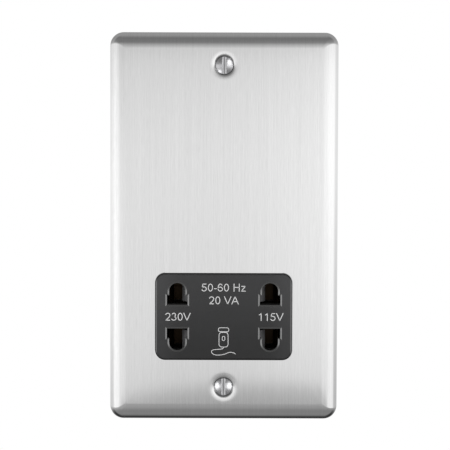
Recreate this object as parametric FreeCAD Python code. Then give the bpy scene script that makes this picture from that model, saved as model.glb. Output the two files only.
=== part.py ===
# Dual-voltage shaver socket on a two-gang pressed steel plate. All sizes are in millimetres.
# X runs to the right seen from the front, Y runs into the wall and Z runs up. The origin is the
# centre of the plate on the wall plane, so what stands in front of the wall has a negative Y.
import FreeCAD, Part
import math
import os

# Front plate: pressed sheet with a rolled edge
PLATE_WIDTH = 86.0
PLATE_HEIGHT = 146.0
PLATE_DEPTH = 6.0
SHEET = 1.0
PLATE_CORNER = 5.2
EDGE_ROLL = 5.1

# Fixing screws: raised countersunk, slotted, on the centres of a two-gang wall box
FIXING_PITCH = 120.6
HEAD_RADIUS = 3.3
HEAD_RISE = 1.1
THREAD_RADIUS = 1.75
NECK_RADIUS = 1.45
NECK_LENGTH = 1.6
SCREW_LENGTH = 28.0
TIP_CHAMFER = 0.5
SLOT_WIDTH = 0.7
SLOT_DEPTH = 1.4
SCREW_SEAT = 0.1
SCREW_HOLE_CLEARANCE = 0.35
DIMPLE_MARGIN = 1.6
DIMPLE_DISH = 0.12
DIMPLE_RING = 0.5
DIMPLE_DROP = 0.5

# Socket insert: the panel seen through the plate, its backing and the chamber behind it
PANEL_WIDTH = 50.9
PANEL_HEIGHT = 32.05
PANEL_CORNER = 3.5
PANEL_EDGE = 0.5
PANEL_PROUD = 0.8
PANEL_GAP = 0.25
PANEL_WALL = 2.2
PANEL_ABOVE_SCREW = 10.5
SKIRT_WALL = 1.65
BACKING = 2.0
CORE_POST_RADIUS = 3.0
CORE_POST_INSET = 4.0

# Outlet apertures: each takes a round pin or a flat blade
OUTLET_PITCH = 34.8
BLADE_WIDTH = 7.76
PIN_WIDTH = 6.1
APERTURE_START = 4.45
BLADE_HEIGHT = 3.6
APERTURE_END = 12.65
BEVEL_WIDTH = 0.6
BEVEL_DEPTH = 0.3

# Interlock slider: two rows of ramps that a plug pushes aside to close the other outlet
SLIDER_DEPTH = 5.0
SLIDER_WEB = 1.8
RUN_GAP = 0.2
SLIDER_TRAVEL = 2.6
RAMP_START = 3.9
RAMP_TIP = 1.7
RAMP_LIP = 0.8
RAMP_ROOT = 3.0
ROW_START = 5.4
SHOULDER_DEPTH = 4.0
SHOULDER_HEIGHT = 6.4
SPIGOT_RADIUS = 1.4

# Centring springs
SPRING_WIRE = 0.45
SPRING_CLEARANCE = 0.3
SPRING_TURNS = 5
SPRING_SEAT_DEPTH = 0.5
SPRING_SEAT_CLEARANCE = 0.35
SPRING_END_GAP = 0.05

# Contact carrier and the four bent strip contacts in its wells
PIN_LENGTH = 19.0
PIN_CLEARANCE = 0.8
CARRIER_WALL = 2.0
WELL_WALL = 1.4
WELL_FLOOR = 1.5
WELL_SIDE_ROOM = 0.4
WELL_END_ROOM = 0.3
STRIP = 0.5
CONTACT_WIDTH = 8.6
CONTACT_HEIGHT = 7.8
CONTACT_NIP = 3.4
CONTACT_MOUTH = 7.0
LEAF_LENGTH = 10.2
NIP_RISE = 7.4
SHOULDER_RISE = 2.2
TAG_WIDTH = 3.0
TAG_LENGTH = 4.0
TAG_CLEARANCE = 0.2

# Rear housing: a plateau behind the sockets and a hump round the transformer
HOUSING_WALL = 2.0
HOUSING_ROOM = 0.5
HOUSING_CORNER = 3.0
HOUSING_EDGE = 1.2
HUMP_ROOM = 1.5
LEAD_ROOM = 5.5
LEAD_PASSAGE = 9.0
HOLD_DOWN_RADIUS = 1.8
HOLD_DOWN_X = 7.0
HOLD_DOWN_INSET = 3.5

# Weld studs on the plate with nuts that clamp the insert and the housing
STUD_RADIUS = 1.5
STUD_OFFSET = 4.0
STUD_HOLE_CLEARANCE = 0.2
STUD_END = 1.0
LUG_RADIUS = 3.6
LUG_THICKNESS = 2.5
NUT_FLATS = 5.5
NUT_THICKNESS = 2.4
NUT_BORE_CLEARANCE = 0.05

# Transformer: scrapless laminations, so every size in their plane follows the centre leg
CORE_LEG = 18.0
CORE_STACK = 18.0
CORE_BELOW_SCREW = 13.3
COIL_BUILD = 8.0
COIL_ROOM = 1.0
BOBBIN_GAP = 0.2
BOBBIN_WALL = 1.0
FLANGE = 1.5
MID_FLANGE = 1.2
WINDING_INSET = 0.9
WINDING_CORNER = 2.0
PIN_COUNT = 4
PIN_SPACING = 6.0
PIN_RADIUS = 0.5
PIN_DROP = 6.0
PIN_FROM_EDGE = 4.0
CUTOUT_THICKNESS = 3.6
CUTOUT_DEPTH = 4.4
CUTOUT_HEIGHT = 10.0
CUTOUT_GAP = 0.2

# Terminals on the plateau with their clamping screws and barriers
TERMINAL_SPACING = 14.0
TERMINAL_WIDTH = 7.0
TERMINAL_HEIGHT = 10.0
TERMINAL_DEPTH = 9.0
TERMINAL_DROP = 22.0
TERMINAL_BORE = 1.7
BORE_FLOOR = 1.5
CLAMP_RADIUS = 1.6
CLAMP_CLEARANCE = 0.05
CLAMP_OPEN = 0.2
CLAMP_HEAD_RADIUS = 2.6
CLAMP_HEAD = 1.8
CLAMP_RAISE = 0.3
CLAMP_SLOT_WIDTH = 0.8
CLAMP_SLOT_DEPTH = 0.9
TAIL_WIDTH = 2.0
TAIL_THICKNESS = 1.2
TAIL_CLEARANCE = 0.2
TAIL_REACH = 3.5
BARRIER = 1.6
BARRIER_HEIGHT = 10.0
BARRIER_OVERHANG = 2.5

# Earth strap from a lower stud to the earth terminal
STRAP = 0.6
STRAP_WIDTH = 5.6
STRAP_GAP = 0.2

# Insulated leads, with the steps of their routes below the core and above the tags and tails
LEAD_RADIUS = 0.7
LEAD_TURN = 2.0
LEAD_DROP = 5.0
COMMON_ASIDE = 4.4
COMMON_BEND = 8.5
COMMON_RETURN = 4.2
LIVE_TURN = 1.0
LIVE_CROSSING_X = 10.5
LIVE_CROSSING_DROP = 15.0
LIVE_RETURN = 6.0

# Y of the layers, from the front to the back
PLATE_FRONT = -PLATE_DEPTH
PLATE_BACK = PLATE_FRONT + SHEET
PANEL_FRONT = PLATE_FRONT - PANEL_PROUD
BACKING_BACK = PLATE_BACK + BACKING
CHAMBER_FRONT = PANEL_FRONT + PANEL_WALL
SLIDER_FRONT = CHAMBER_FRONT + RUN_GAP
SLIDER_BACK = SLIDER_FRONT + SLIDER_DEPTH
SLIDER_MID = (SLIDER_FRONT + SLIDER_BACK) / 2
CHAMBER_BACK = SLIDER_BACK + RUN_GAP
CARRIER_PLATE_BACK = CHAMBER_BACK + CARRIER_WALL
FLOOR_FRONT = PANEL_FRONT + PIN_LENGTH + PIN_CLEARANCE + STRIP
CARRIER_BACK = FLOOR_FRONT + WELL_FLOOR
PLATEAU_INNER = CARRIER_BACK + LEAD_ROOM
PLATEAU_BACK = PLATEAU_INNER + HOUSING_WALL
LEAD_Y = (CARRIER_BACK + PLATEAU_INNER) / 2
LUG_BACK = BACKING_BACK + LUG_THICKNESS
COIL_FRONT = BACKING_BACK + COIL_ROOM
CORE_FRONT = COIL_FRONT + COIL_BUILD
CORE_BACK = CORE_FRONT + CORE_STACK
COIL_BACK = CORE_BACK + COIL_BUILD
HUMP_INNER = COIL_BACK + HUMP_ROOM
HUMP_BACK = HUMP_INNER + HOUSING_WALL
HEAD_RIM = PLATE_FRONT + DIMPLE_DROP
THREAD_START = HEAD_RIM + HEAD_RADIUS - NECK_RADIUS + NECK_LENGTH
SCREW_TIP = HEAD_RIM + SCREW_LENGTH

# X and Z of the main pieces
SCREW_Z = FIXING_PITCH / 2
OUTLET_X = OUTLET_PITCH / 2
PANEL_BOTTOM = -SCREW_Z + PANEL_ABOVE_SCREW
PANEL_TOP = PANEL_BOTTOM + PANEL_HEIGHT
PANEL_Z = (PANEL_BOTTOM + PANEL_TOP) / 2
CHAMBER_HALF_WIDTH = PANEL_WIDTH / 2 - SKIRT_WALL
CHAMBER_HALF_HEIGHT = PANEL_HEIGHT / 2 - SKIRT_WALL
CHAMBER_CORNER = PANEL_CORNER - SKIRT_WALL
CORE_WIDTH = 3 * CORE_LEG
CORE_HEIGHT = 2.5 * CORE_LEG
CORE_WINDOW = CORE_LEG / 2
CORE_WINDOW_HEIGHT = 1.5 * CORE_LEG
CORE_TOP = SCREW_Z - CORE_BELOW_SCREW
CORE_BOTTOM = CORE_TOP - CORE_HEIGHT
CORE_Z = (CORE_TOP + CORE_BOTTOM) / 2
HOUSING_INNER_HALF = max(CORE_WIDTH, PANEL_WIDTH) / 2 + HOUSING_ROOM
HOUSING_HALF = HOUSING_INNER_HALF + HOUSING_WALL
HOUSING_TOP = CORE_TOP + HOUSING_ROOM + HOUSING_WALL
HOUSING_BOTTOM = PANEL_BOTTOM - HOUSING_ROOM - HOUSING_WALL
HUMP_FOOT = CORE_BOTTOM - LEAD_PASSAGE
STUD_X = HOUSING_HALF + STUD_OFFSET
STUDS = [(side * STUD_X, z) for z in (CORE_Z, PANEL_Z) for side in (-1, 1)]
EARTHED_STUD = (-STUD_X, PANEL_Z)
CORE_POSTS = [
    (side * (CORE_WIDTH / 2 - CORE_POST_INSET), z)
    for side in (-1, 1)
    for z in (CORE_BOTTOM + CORE_POST_INSET, CORE_TOP - CORE_POST_INSET)
]

# Apertures and contacts: each outlet has an upper and a lower one, alike about the panel's middle
APERTURE_MID = (APERTURE_START + APERTURE_END) / 2
CONTACTS = {
    "contact_230v_upper": (-OUTLET_X, PANEL_Z + APERTURE_MID),
    "contact_230v_lower": (-OUTLET_X, PANEL_Z - APERTURE_MID),
    "contact_115v_upper": (OUTLET_X, PANEL_Z + APERTURE_MID),
    "contact_115v_lower": (OUTLET_X, PANEL_Z - APERTURE_MID),
}
WELL_WIDTH = CONTACT_WIDTH + 2 * WELL_SIDE_ROOM
WELL_HEIGHT = CONTACT_HEIGHT + 2 * WELL_END_ROOM

# The slider's lands and ramps end short of each outlet's middle, and its spigots stop its travel
LAND_X = OUTLET_X - RAMP_START
RAMP_X = OUTLET_X - RAMP_TIP
SPRING_SEAT_X = CHAMBER_HALF_WIDTH + SPRING_SEAT_DEPTH
SPIGOT_LENGTH = SPRING_SEAT_X - LAND_X - SLIDER_TRAVEL - RUN_GAP
SPRING_RADIUS = SPIGOT_RADIUS + SPRING_CLEARANCE + SPRING_WIRE / 2

# Bobbin: it fills the core's window and stands proud of the core at the front and the back
BOBBIN_BOTTOM = CORE_BOTTOM + CORE_WINDOW + BOBBIN_GAP
BOBBIN_TOP = CORE_TOP - CORE_WINDOW - BOBBIN_GAP
BOBBIN_HALF = CORE_LEG - BOBBIN_GAP
TUBE_HALF = CORE_LEG / 2 + BOBBIN_GAP + BOBBIN_WALL
TUBE_FRONT = CORE_FRONT - BOBBIN_GAP - BOBBIN_WALL
TUBE_BACK = CORE_BACK + BOBBIN_GAP + BOBBIN_WALL
BOBBIN_Z = (BOBBIN_BOTTOM + BOBBIN_TOP) / 2
PIN_Y = COIL_BACK - PIN_FROM_EDGE
PIN_END = BOBBIN_BOTTOM - PIN_DROP
PIN_XS = [(i - (PIN_COUNT - 1) / 2) * PIN_SPACING for i in range(PIN_COUNT)]
PRIMARY_Z = (BOBBIN_BOTTOM + FLANGE + BOBBIN_Z - MID_FLANGE / 2) / 2
WINDING_HALF = BOBBIN_HALF - WINDING_INSET

# Terminals, left to right seen from the front
TERMINALS = {
    "earth_terminal": -TERMINAL_SPACING,
    "neutral_terminal": 0.0,
    "live_terminal": TERMINAL_SPACING,
}
TERMINAL_TOP = HUMP_FOOT - TERMINAL_DROP
TERMINAL_Z = TERMINAL_TOP - TERMINAL_HEIGHT / 2
TERMINAL_BACK = PLATEAU_BACK + TERMINAL_DEPTH
BORE_Y = PLATEAU_BACK + BORE_FLOOR + TERMINAL_BORE
TAIL_FRONT = PLATEAU_INNER - TAIL_REACH
TAIL_TOP = TERMINAL_Z + TAIL_WIDTH / 2

Y_AXIS = FreeCAD.Vector(0, 1, 0)
REACH = 1.0


def vector(x, y, z):
    return FreeCAD.Vector(x, y, z)


def block(x0, x1, y0, y1, z0, z1):
    """A box between two corners."""
    return Part.makeBox(x1 - x0, y1 - y0, z1 - z0, vector(x0, y0, z0))


def bar(x, z, radius, y0, y1):
    """A round bar along Y."""
    return Part.makeCylinder(radius, y1 - y0, vector(x, y0, z), Y_AXIS)


def edges_along_y(shape):
    """The straight edges of a shape that run along Y."""
    return [
        edge
        for edge in shape.Edges
        if isinstance(edge.Curve, Part.Line) and abs(edge.Curve.Direction.y) > 0.99
    ]


def edges_at_y(shape, y):
    """The edges of a shape that lie in the plane at y."""
    return [
        edge
        for edge in shape.Edges
        if abs(edge.BoundBox.YMin - y) < 1e-6 and abs(edge.BoundBox.YMax - y) < 1e-6
    ]


def rounded_slab(x0, x1, y0, y1, z0, z1, radius):
    """A box with its four edges along Y rounded."""
    slab = block(x0, x1, y0, y1, z0, z1)
    return slab.makeFillet(radius, edges_along_y(slab))


def turned(x, z, profile):
    """A solid turned about a line along Y from a profile of radius and y pairs."""
    points = [vector(x + radius, y, z) for radius, y in profile]
    face = Part.Face(Part.makePolygon(points + points[:1]))
    return face.revolve(vector(x, 0, z), Y_AXIS, 360)


def fused(shapes):
    """One solid from several that meet."""
    return shapes[0].multiFuse(shapes[1:]).removeSplitter()


def group(shapes):
    """Separate solids kept together in one node."""
    return Part.makeCompound(shapes)


def plate_shell(inset):
    """The plate's pressed outside, or its inside at the sheet's thickness."""
    half_width = PLATE_WIDTH / 2 - inset
    half_height = PLATE_HEIGHT / 2 - inset
    front = PLATE_FRONT + inset
    corner = PLATE_CORNER - inset
    shell = rounded_slab(-half_width, half_width, front, inset, -half_height, half_height, corner)
    return shell.makeFillet(EDGE_ROLL - inset, edges_at_y(shell, front))


def dimple_profile(front, widen):
    """The pressed seat of a screw: a shallow dish, a step round the head, then a cone to the screw's hole."""
    hole = THREAD_RADIUS + SCREW_HOLE_CLEARANCE
    rim = front + DIMPLE_DROP
    return [
        (HEAD_RADIUS + DIMPLE_MARGIN + widen, front),
        (HEAD_RADIUS + DIMPLE_RING + widen, front + DIMPLE_DISH),
        (HEAD_RADIUS + widen, rim),
        (hole + widen, rim + HEAD_RADIUS - hole),
    ]


def make_front_plate():
    """Pressed plate with a rolled edge, two dimpled screw holes and the panel's window."""
    plate = plate_shell(0).cut(plate_shell(SHEET))
    for z in (-SCREW_Z, SCREW_Z):
        back = dimple_profile(PLATE_BACK, SHEET / 2)
        boss = turned(0, z, [(0, PLATE_FRONT + SHEET / 2), (back[0][0], PLATE_FRONT + SHEET / 2)]
                      + back + [(0, back[-1][1])])
        seat = dimple_profile(PLATE_FRONT, 0)
        through = back[-1][1] + REACH
        recess = turned(0, z, [(0, PLATE_FRONT - REACH), (seat[0][0], PLATE_FRONT - REACH)]
                        + seat + [(seat[-1][0], through), (0, through)])
        plate = plate.fuse(boss).cut(recess)
    half_width = PANEL_WIDTH / 2 + PANEL_GAP
    window = rounded_slab(-half_width, half_width, PLATE_FRONT - REACH, PLATE_BACK + REACH,
                          PANEL_BOTTOM - PANEL_GAP, PANEL_TOP + PANEL_GAP, PANEL_CORNER + PANEL_GAP)
    return plate.cut(window).removeSplitter()


def make_fixing_screw(z):
    """Raised countersunk screw with a domed slotted head, an undercut neck and a thread."""
    rim = HEAD_RIM - SCREW_SEAT
    cone_end = rim + HEAD_RADIUS - NECK_RADIUS
    dome_radius = (HEAD_RADIUS ** 2 + HEAD_RISE ** 2) / (2 * HEAD_RISE)
    shank = turned(0, z, [
        (0, rim),
        (HEAD_RADIUS, rim),
        (NECK_RADIUS, cone_end),
        (NECK_RADIUS, THREAD_START),
        (THREAD_RADIUS, THREAD_START),
        (THREAD_RADIUS, SCREW_TIP - TIP_CHAMFER),
        (THREAD_RADIUS - TIP_CHAMFER, SCREW_TIP),
        (0, SCREW_TIP),
    ])
    ball = Part.makeSphere(dome_radius, vector(0, rim - HEAD_RISE + dome_radius, z))
    dome = ball.common(bar(0, z, HEAD_RADIUS, rim - HEAD_RISE - REACH, rim))
    top = rim - HEAD_RISE
    slot = block(-SLOT_WIDTH / 2, SLOT_WIDTH / 2, top - REACH, top + SLOT_DEPTH,
                 z - HEAD_RADIUS - REACH, z + HEAD_RADIUS + REACH)
    return fused([shank, dome]).cut(slot)


def make_lug(x, z, y0, y1):
    """A side lug with a round end and the hole for a stud."""
    inner = math.copysign(HOUSING_INNER_HALF, x)
    arm = block(min(inner, x), max(inner, x), y0, y1, z - LUG_RADIUS, z + LUG_RADIUS)
    lug = fused([arm, bar(x, z, LUG_RADIUS, y0, y1)])
    return lug.cut(stud_hole(x, z))


def stud_hole(x, z):
    return bar(x, z, STUD_RADIUS + STUD_HOLE_CLEARANCE, PLATE_BACK - REACH, LUG_BACK + REACH)


def aperture_outline(x, side, y, grow):
    """A blade slot with a narrower round-ended pin hole beyond it, grown on all sides, in the plane at y."""
    blade = BLADE_WIDTH / 2 + grow
    pin = PIN_WIDTH / 2 + grow
    start = APERTURE_START - grow
    step = APERTURE_START + BLADE_HEIGHT + grow
    end = APERTURE_END + grow
    centre = end - pin

    def at(dx, dz):
        return vector(x + dx, y, PANEL_Z + side * dz)

    corners = [at(-pin, centre), at(-pin, step), at(-blade, step), at(-blade, start),
               at(blade, start), at(blade, step), at(pin, step), at(pin, centre)]
    edges = [Part.makeLine(a, b) for a, b in zip(corners, corners[1:])]
    edges.append(Part.Arc(corners[-1], at(0, end), corners[0]).toShape())
    return Part.Wire(edges)


def make_aperture(x, side):
    """The hole of one pin through the panel, with a shallow bevel round its rim."""
    foot = PANEL_FRONT + BEVEL_DEPTH
    hole = Part.Face(aperture_outline(x, side, foot, 0)).extrude(vector(0, PANEL_WALL + REACH, 0))
    mouth = aperture_outline(x, side, PANEL_FRONT, BEVEL_WIDTH)
    bevel = Part.makeLoft([mouth, aperture_outline(x, side, foot, 0)], True, True)
    return fused([hole, bevel])


def make_socket_insert():
    """Moulding with the outlet panel in front, a clamped backing and the slider's chamber."""
    backing = rounded_slab(-HOUSING_HALF, HOUSING_HALF, PLATE_BACK, BACKING_BACK,
                           HOUSING_BOTTOM, HOUSING_TOP, HOUSING_CORNER)
    half_width = PANEL_WIDTH / 2
    panel = rounded_slab(-half_width, half_width, PANEL_FRONT, CHAMBER_BACK,
                         PANEL_BOTTOM, PANEL_TOP, PANEL_CORNER)
    panel = panel.makeFillet(PANEL_EDGE, edges_at_y(panel, PANEL_FRONT))
    lugs = [make_lug(x, z, PLATE_BACK, BACKING_BACK) for x, z in STUDS]
    posts = [bar(x, z, CORE_POST_RADIUS, PLATE_BACK, CORE_FRONT) for x, z in CORE_POSTS]
    body = fused([backing, panel] + lugs + posts)
    chamber = rounded_slab(-CHAMBER_HALF_WIDTH, CHAMBER_HALF_WIDTH, CHAMBER_FRONT, CHAMBER_BACK + REACH,
                           PANEL_Z - CHAMBER_HALF_HEIGHT, PANEL_Z + CHAMBER_HALF_HEIGHT, CHAMBER_CORNER)
    seat_radius = SPRING_RADIUS + SPRING_WIRE / 2 + SPRING_SEAT_CLEARANCE
    spring_seats = Part.makeCylinder(seat_radius, 2 * SPRING_SEAT_X,
                                     vector(-SPRING_SEAT_X, SLIDER_MID, PANEL_Z), vector(1, 0, 0))
    body = body.cut(chamber).cut(spring_seats)
    for x in (-OUTLET_X, OUTLET_X):
        for side in (-1, 1):
            body = body.cut(make_aperture(x, side))
    return body


def make_ramp(side, row):
    """One row of the slider at one end: a land, then a ramp that faces the plug's pins."""
    root = LAND_X - RAMP_ROOT
    profile = [(root, SLIDER_FRONT), (LAND_X, SLIDER_FRONT), (RAMP_X, SLIDER_BACK - RAMP_LIP),
               (RAMP_X, SLIDER_BACK), (root, SLIDER_BACK)]
    end = CHAMBER_HALF_HEIGHT - RUN_GAP
    z0 = min(row * ROW_START, row * end)
    points = [vector(side * x, y, PANEL_Z + z0) for x, y in profile]
    face = Part.Face(Part.makePolygon(points + points[:1]))
    return face.extrude(vector(0, 0, end - ROW_START))


def make_interlock_slider():
    """Web with four ramps and, between them, a shouldered spigot for each centring spring."""
    end = CHAMBER_HALF_HEIGHT - RUN_GAP
    pieces = [block(-LAND_X, LAND_X, SLIDER_FRONT, SLIDER_FRONT + SLIDER_WEB, PANEL_Z - end, PANEL_Z + end)]
    for side in (-1, 1):
        pieces += [make_ramp(side, row) for row in (-1, 1)]
        inner = side * (LAND_X - SHOULDER_DEPTH)
        outer = side * LAND_X
        pieces.append(block(min(inner, outer), max(inner, outer), SLIDER_FRONT, SLIDER_BACK,
                            PANEL_Z - SHOULDER_HEIGHT / 2, PANEL_Z + SHOULDER_HEIGHT / 2))
        pieces.append(Part.makeCylinder(SPIGOT_RADIUS, SHOULDER_DEPTH + SPIGOT_LENGTH,
                                        vector(inner, SLIDER_MID, PANEL_Z), vector(side, 0, 0)))
    return fused(pieces)


def make_centring_spring(side):
    """Helical wire from the slider's shoulder to its seat in the side of the chamber."""
    length = SPRING_SEAT_X - LAND_X - SPRING_WIRE - 2 * SPRING_END_GAP
    helix = Part.makeHelix(length / SPRING_TURNS, length, SPRING_RADIUS)
    section = Part.makeCircle(SPRING_WIRE / 2, vector(SPRING_RADIUS, 0, 0), Y_AXIS)
    spring = Part.Wire(helix.Edges).makePipeShell([Part.Wire([section])], True, True)
    spring.rotate(vector(0, 0, 0), Y_AXIS, side * 90)
    spring.translate(vector(side * (LAND_X + SPRING_END_GAP + SPRING_WIRE / 2), SLIDER_MID, PANEL_Z))
    return spring


def make_contact_carrier():
    """Moulded plate behind the slider with an open well and a tag slot for each contact."""
    half_width = PANEL_WIDTH / 2
    carrier = rounded_slab(-half_width, half_width, CHAMBER_BACK, CARRIER_PLATE_BACK,
                           PANEL_BOTTOM, PANEL_TOP, PANEL_CORNER)
    wells = []
    cuts = []
    for x, z in CONTACTS.values():
        half_x = WELL_WIDTH / 2
        half_z = WELL_HEIGHT / 2
        wells.append(block(x - half_x - WELL_WALL, x + half_x + WELL_WALL, CHAMBER_BACK, CARRIER_BACK,
                           z - half_z - WELL_WALL, z + half_z + WELL_WALL))
        cuts.append(block(x - half_x, x + half_x, CHAMBER_BACK - REACH, FLOOR_FRONT, z - half_z, z + half_z))
        slot_x = STRIP / 2 + TAG_CLEARANCE
        slot_z = TAG_WIDTH / 2 + TAG_CLEARANCE
        cuts.append(block(x - slot_x, x + slot_x, FLOOR_FRONT - REACH, CARRIER_BACK + REACH,
                          z - slot_z, z + slot_z))
    carrier = fused([carrier] + wells)
    for cut in cuts:
        carrier = carrier.cut(cut)
    return carrier


def strip_outline(points, thickness):
    """The outline of a bent strip: its centre line moved half a thickness to each side."""
    sides = []
    for sign in (1, -1):
        side = []
        for i, point in enumerate(points):
            before = point - points[i - 1] if i else points[1] - point
            after = points[i + 1] - point if i + 1 < len(points) else before
            n1 = vector(-before.y, before.x, 0).normalize()
            n2 = vector(-after.y, after.x, 0).normalize()
            middle = n1 + n2
            side.append(point + middle * (sign * thickness / middle.dot(n1) / 2))
        sides.append(side)
    return sides[0] + sides[1][::-1]


def make_contact(x, z):
    """Spring clip bent from strip: flared mouth, nip, shoulders and a solder tag through the floor."""
    base = FLOOR_FRONT - STRIP / 2
    half = [
        (CONTACT_MOUTH / 2 - STRIP / 2, base - LEAF_LENGTH),
        (CONTACT_NIP / 2 + STRIP / 2, base - NIP_RISE),
        (CONTACT_WIDTH / 2 - STRIP / 2, base - SHOULDER_RISE),
        (CONTACT_WIDTH / 2 - STRIP / 2, base),
    ]
    line = [vector(x - dx, y, 0) for dx, y in half] + [vector(x + dx, y, 0) for dx, y in half[::-1]]
    outline = strip_outline(line, STRIP)
    face = Part.Face(Part.makePolygon(outline + outline[:1]))
    clip = face.extrude(vector(0, 0, CONTACT_HEIGHT))
    clip.translate(vector(0, 0, z - CONTACT_HEIGHT / 2))
    tag = block(x - STRIP / 2, x + STRIP / 2, base, CARRIER_BACK + TAG_LENGTH,
                z - TAG_WIDTH / 2, z + TAG_WIDTH / 2)
    return fused([clip, tag])


def housing_form(inset, front):
    """The housing's outside, or its inside at the wall's thickness: a plateau with a hump on it."""
    half = HOUSING_HALF - inset
    corner = HOUSING_CORNER - inset
    plateau = rounded_slab(-half, half, front, PLATEAU_BACK - inset,
                           HOUSING_BOTTOM + inset, HOUSING_TOP - inset, corner)
    hump = rounded_slab(-half, half, front, HUMP_BACK - inset,
                        HUMP_FOOT - HOUSING_WALL + inset, HOUSING_TOP - inset, corner)
    if not inset:
        plateau = plateau.makeFillet(HOUSING_EDGE, edges_at_y(plateau, PLATEAU_BACK))
        hump = hump.makeFillet(HOUSING_EDGE, edges_at_y(hump, HUMP_BACK))
    return fused([plateau, hump])


def make_barriers():
    """Ribs between and outside the terminals with a wall across their upper ends."""
    back = PLATEAU_BACK + BARRIER_HEIGHT
    half = BARRIER / 2
    bottom = TERMINAL_Z - TERMINAL_HEIGHT / 2 - BARRIER_OVERHANG
    top = TERMINAL_TOP + BARRIER_OVERHANG
    xs = [(i - len(TERMINALS) / 2) * TERMINAL_SPACING for i in range(len(TERMINALS) + 1)]
    root = PLATEAU_BACK - HOUSING_WALL / 2
    ribs = [block(x - half, x + half, root, back, bottom, top) for x in xs]
    ribs.append(block(xs[0] - half, xs[-1] + half, root, back, top - BARRIER, top))
    return ribs


def strap_path():
    """The strap's centre line from the stud's lug, up the housing's side and over the plateau."""
    wall_x = -HOUSING_HALF - STRAP_GAP - STRAP / 2
    foot_y = LUG_BACK + STRAP / 2
    top_y = PLATEAU_BACK + STRAP / 2
    end_x = TERMINALS["earth_terminal"] - TERMINAL_WIDTH / 2
    return [(EARTHED_STUD[0], foot_y), (wall_x, foot_y), (wall_x, top_y), (end_x, top_y)]


def make_strap_body(width, thickness):
    """The strap's bent strip, at its own size or enlarged to cut its way through a rib."""
    z = EARTHED_STUD[1]
    outline = strip_outline([vector(x, y, 0) for x, y in strap_path()], thickness)
    face = Part.Face(Part.makePolygon(outline + outline[:1]))
    strap = face.extrude(vector(0, 0, width))
    strap.translate(vector(0, 0, z - width / 2))
    return strap


def make_rear_housing():
    """Moulded rear shell with lugs, core posts, hold-down posts, barriers and tail slots."""
    shell = housing_form(0, BACKING_BACK).cut(housing_form(HOUSING_WALL, BACKING_BACK - REACH))
    lugs = [make_lug(x, z, BACKING_BACK, LUG_BACK) for x, z in STUDS]
    lugs = [lug.cut(housing_form(HOUSING_WALL, BACKING_BACK - REACH)) for lug in lugs]
    posts = [bar(x, z, CORE_POST_RADIUS, CORE_BACK, HUMP_BACK - HOUSING_WALL / 2) for x, z in CORE_POSTS]
    for x in (-HOLD_DOWN_X, HOLD_DOWN_X):
        for z in (PANEL_BOTTOM + HOLD_DOWN_INSET, PANEL_TOP - HOLD_DOWN_INSET):
            posts.append(bar(x, z, HOLD_DOWN_RADIUS, CARRIER_PLATE_BACK, PLATEAU_BACK - HOUSING_WALL / 2))
    housing = fused([shell] + lugs + posts + make_barriers())
    for x in TERMINALS.values():
        half_x = TAIL_THICKNESS / 2 + TAIL_CLEARANCE
        half_z = TAIL_WIDTH / 2 + TAIL_CLEARANCE
        housing = housing.cut(block(x - half_x, x + half_x, PLATEAU_INNER - REACH, PLATEAU_BACK + REACH,
                                    TERMINAL_Z - half_z, TERMINAL_Z + half_z))
    way = make_strap_body(STRAP_WIDTH + 2 * STRAP_GAP, STRAP + 2 * STRAP_GAP)
    barrier_zone = block(-1.5 * TERMINAL_SPACING - BARRIER, 0, PLATEAU_BACK, TERMINAL_BACK,
                         HOUSING_BOTTOM, HUMP_FOOT)
    return housing.cut(way.common(barrier_zone))


def make_weld_stud(x, z):
    """Threaded stud welded to the back of the plate."""
    end = LUG_BACK + STRAP + NUT_THICKNESS + STUD_END
    return bar(x, z, STUD_RADIUS, PLATE_BACK, end)


def make_stud_nut(x, z):
    """Hexagon nut on a stud, raised by the strap on the earthed one."""
    seat = LUG_BACK + (STRAP if (x, z) == EARTHED_STUD else 0)
    corner = NUT_FLATS / math.sqrt(3)
    points = [vector(x + corner * math.sin(math.radians(60 * i)), seat,
                     z + corner * math.cos(math.radians(60 * i))) for i in range(6)]
    nut = Part.Face(Part.makePolygon(points + points[:1])).extrude(vector(0, NUT_THICKNESS, 0))
    return nut.cut(bar(x, z, STUD_RADIUS + NUT_BORE_CLEARANCE, seat - REACH, seat + NUT_THICKNESS + REACH))


def make_transformer_core():
    """Lamination stack with a centre leg between two windows."""
    core = block(-CORE_WIDTH / 2, CORE_WIDTH / 2, CORE_FRONT, CORE_BACK, CORE_BOTTOM, CORE_TOP)
    for side in (-1, 1):
        inner = side * CORE_LEG / 2
        outer = side * (CORE_LEG / 2 + CORE_WINDOW)
        core = core.cut(block(min(inner, outer), max(inner, outer), CORE_FRONT - REACH, CORE_BACK + REACH,
                              CORE_Z - CORE_WINDOW_HEIGHT / 2, CORE_Z + CORE_WINDOW_HEIGHT / 2))
    return core


def make_bobbin():
    """Square tube round the centre leg with two end flanges and one between the windings."""
    tube = block(-TUBE_HALF, TUBE_HALF, TUBE_FRONT, TUBE_BACK, BOBBIN_BOTTOM, BOBBIN_TOP)
    levels = [
        (BOBBIN_BOTTOM, BOBBIN_BOTTOM + FLANGE),
        (BOBBIN_Z - MID_FLANGE / 2, BOBBIN_Z + MID_FLANGE / 2),
        (BOBBIN_TOP - FLANGE, BOBBIN_TOP),
    ]
    flanges = [make_flange(z0, z1) for z0, z1 in levels]
    bore = block(-TUBE_HALF + BOBBIN_WALL, TUBE_HALF - BOBBIN_WALL, TUBE_FRONT + BOBBIN_WALL,
                 TUBE_BACK - BOBBIN_WALL, BOBBIN_BOTTOM - REACH, BOBBIN_TOP + REACH)
    bobbin = fused([tube] + flanges).cut(bore)
    for x in PIN_XS:
        bobbin = bobbin.cut(Part.makeCylinder(PIN_RADIUS, FLANGE, vector(x, PIN_Y, BOBBIN_BOTTOM)))
    return bobbin


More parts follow.
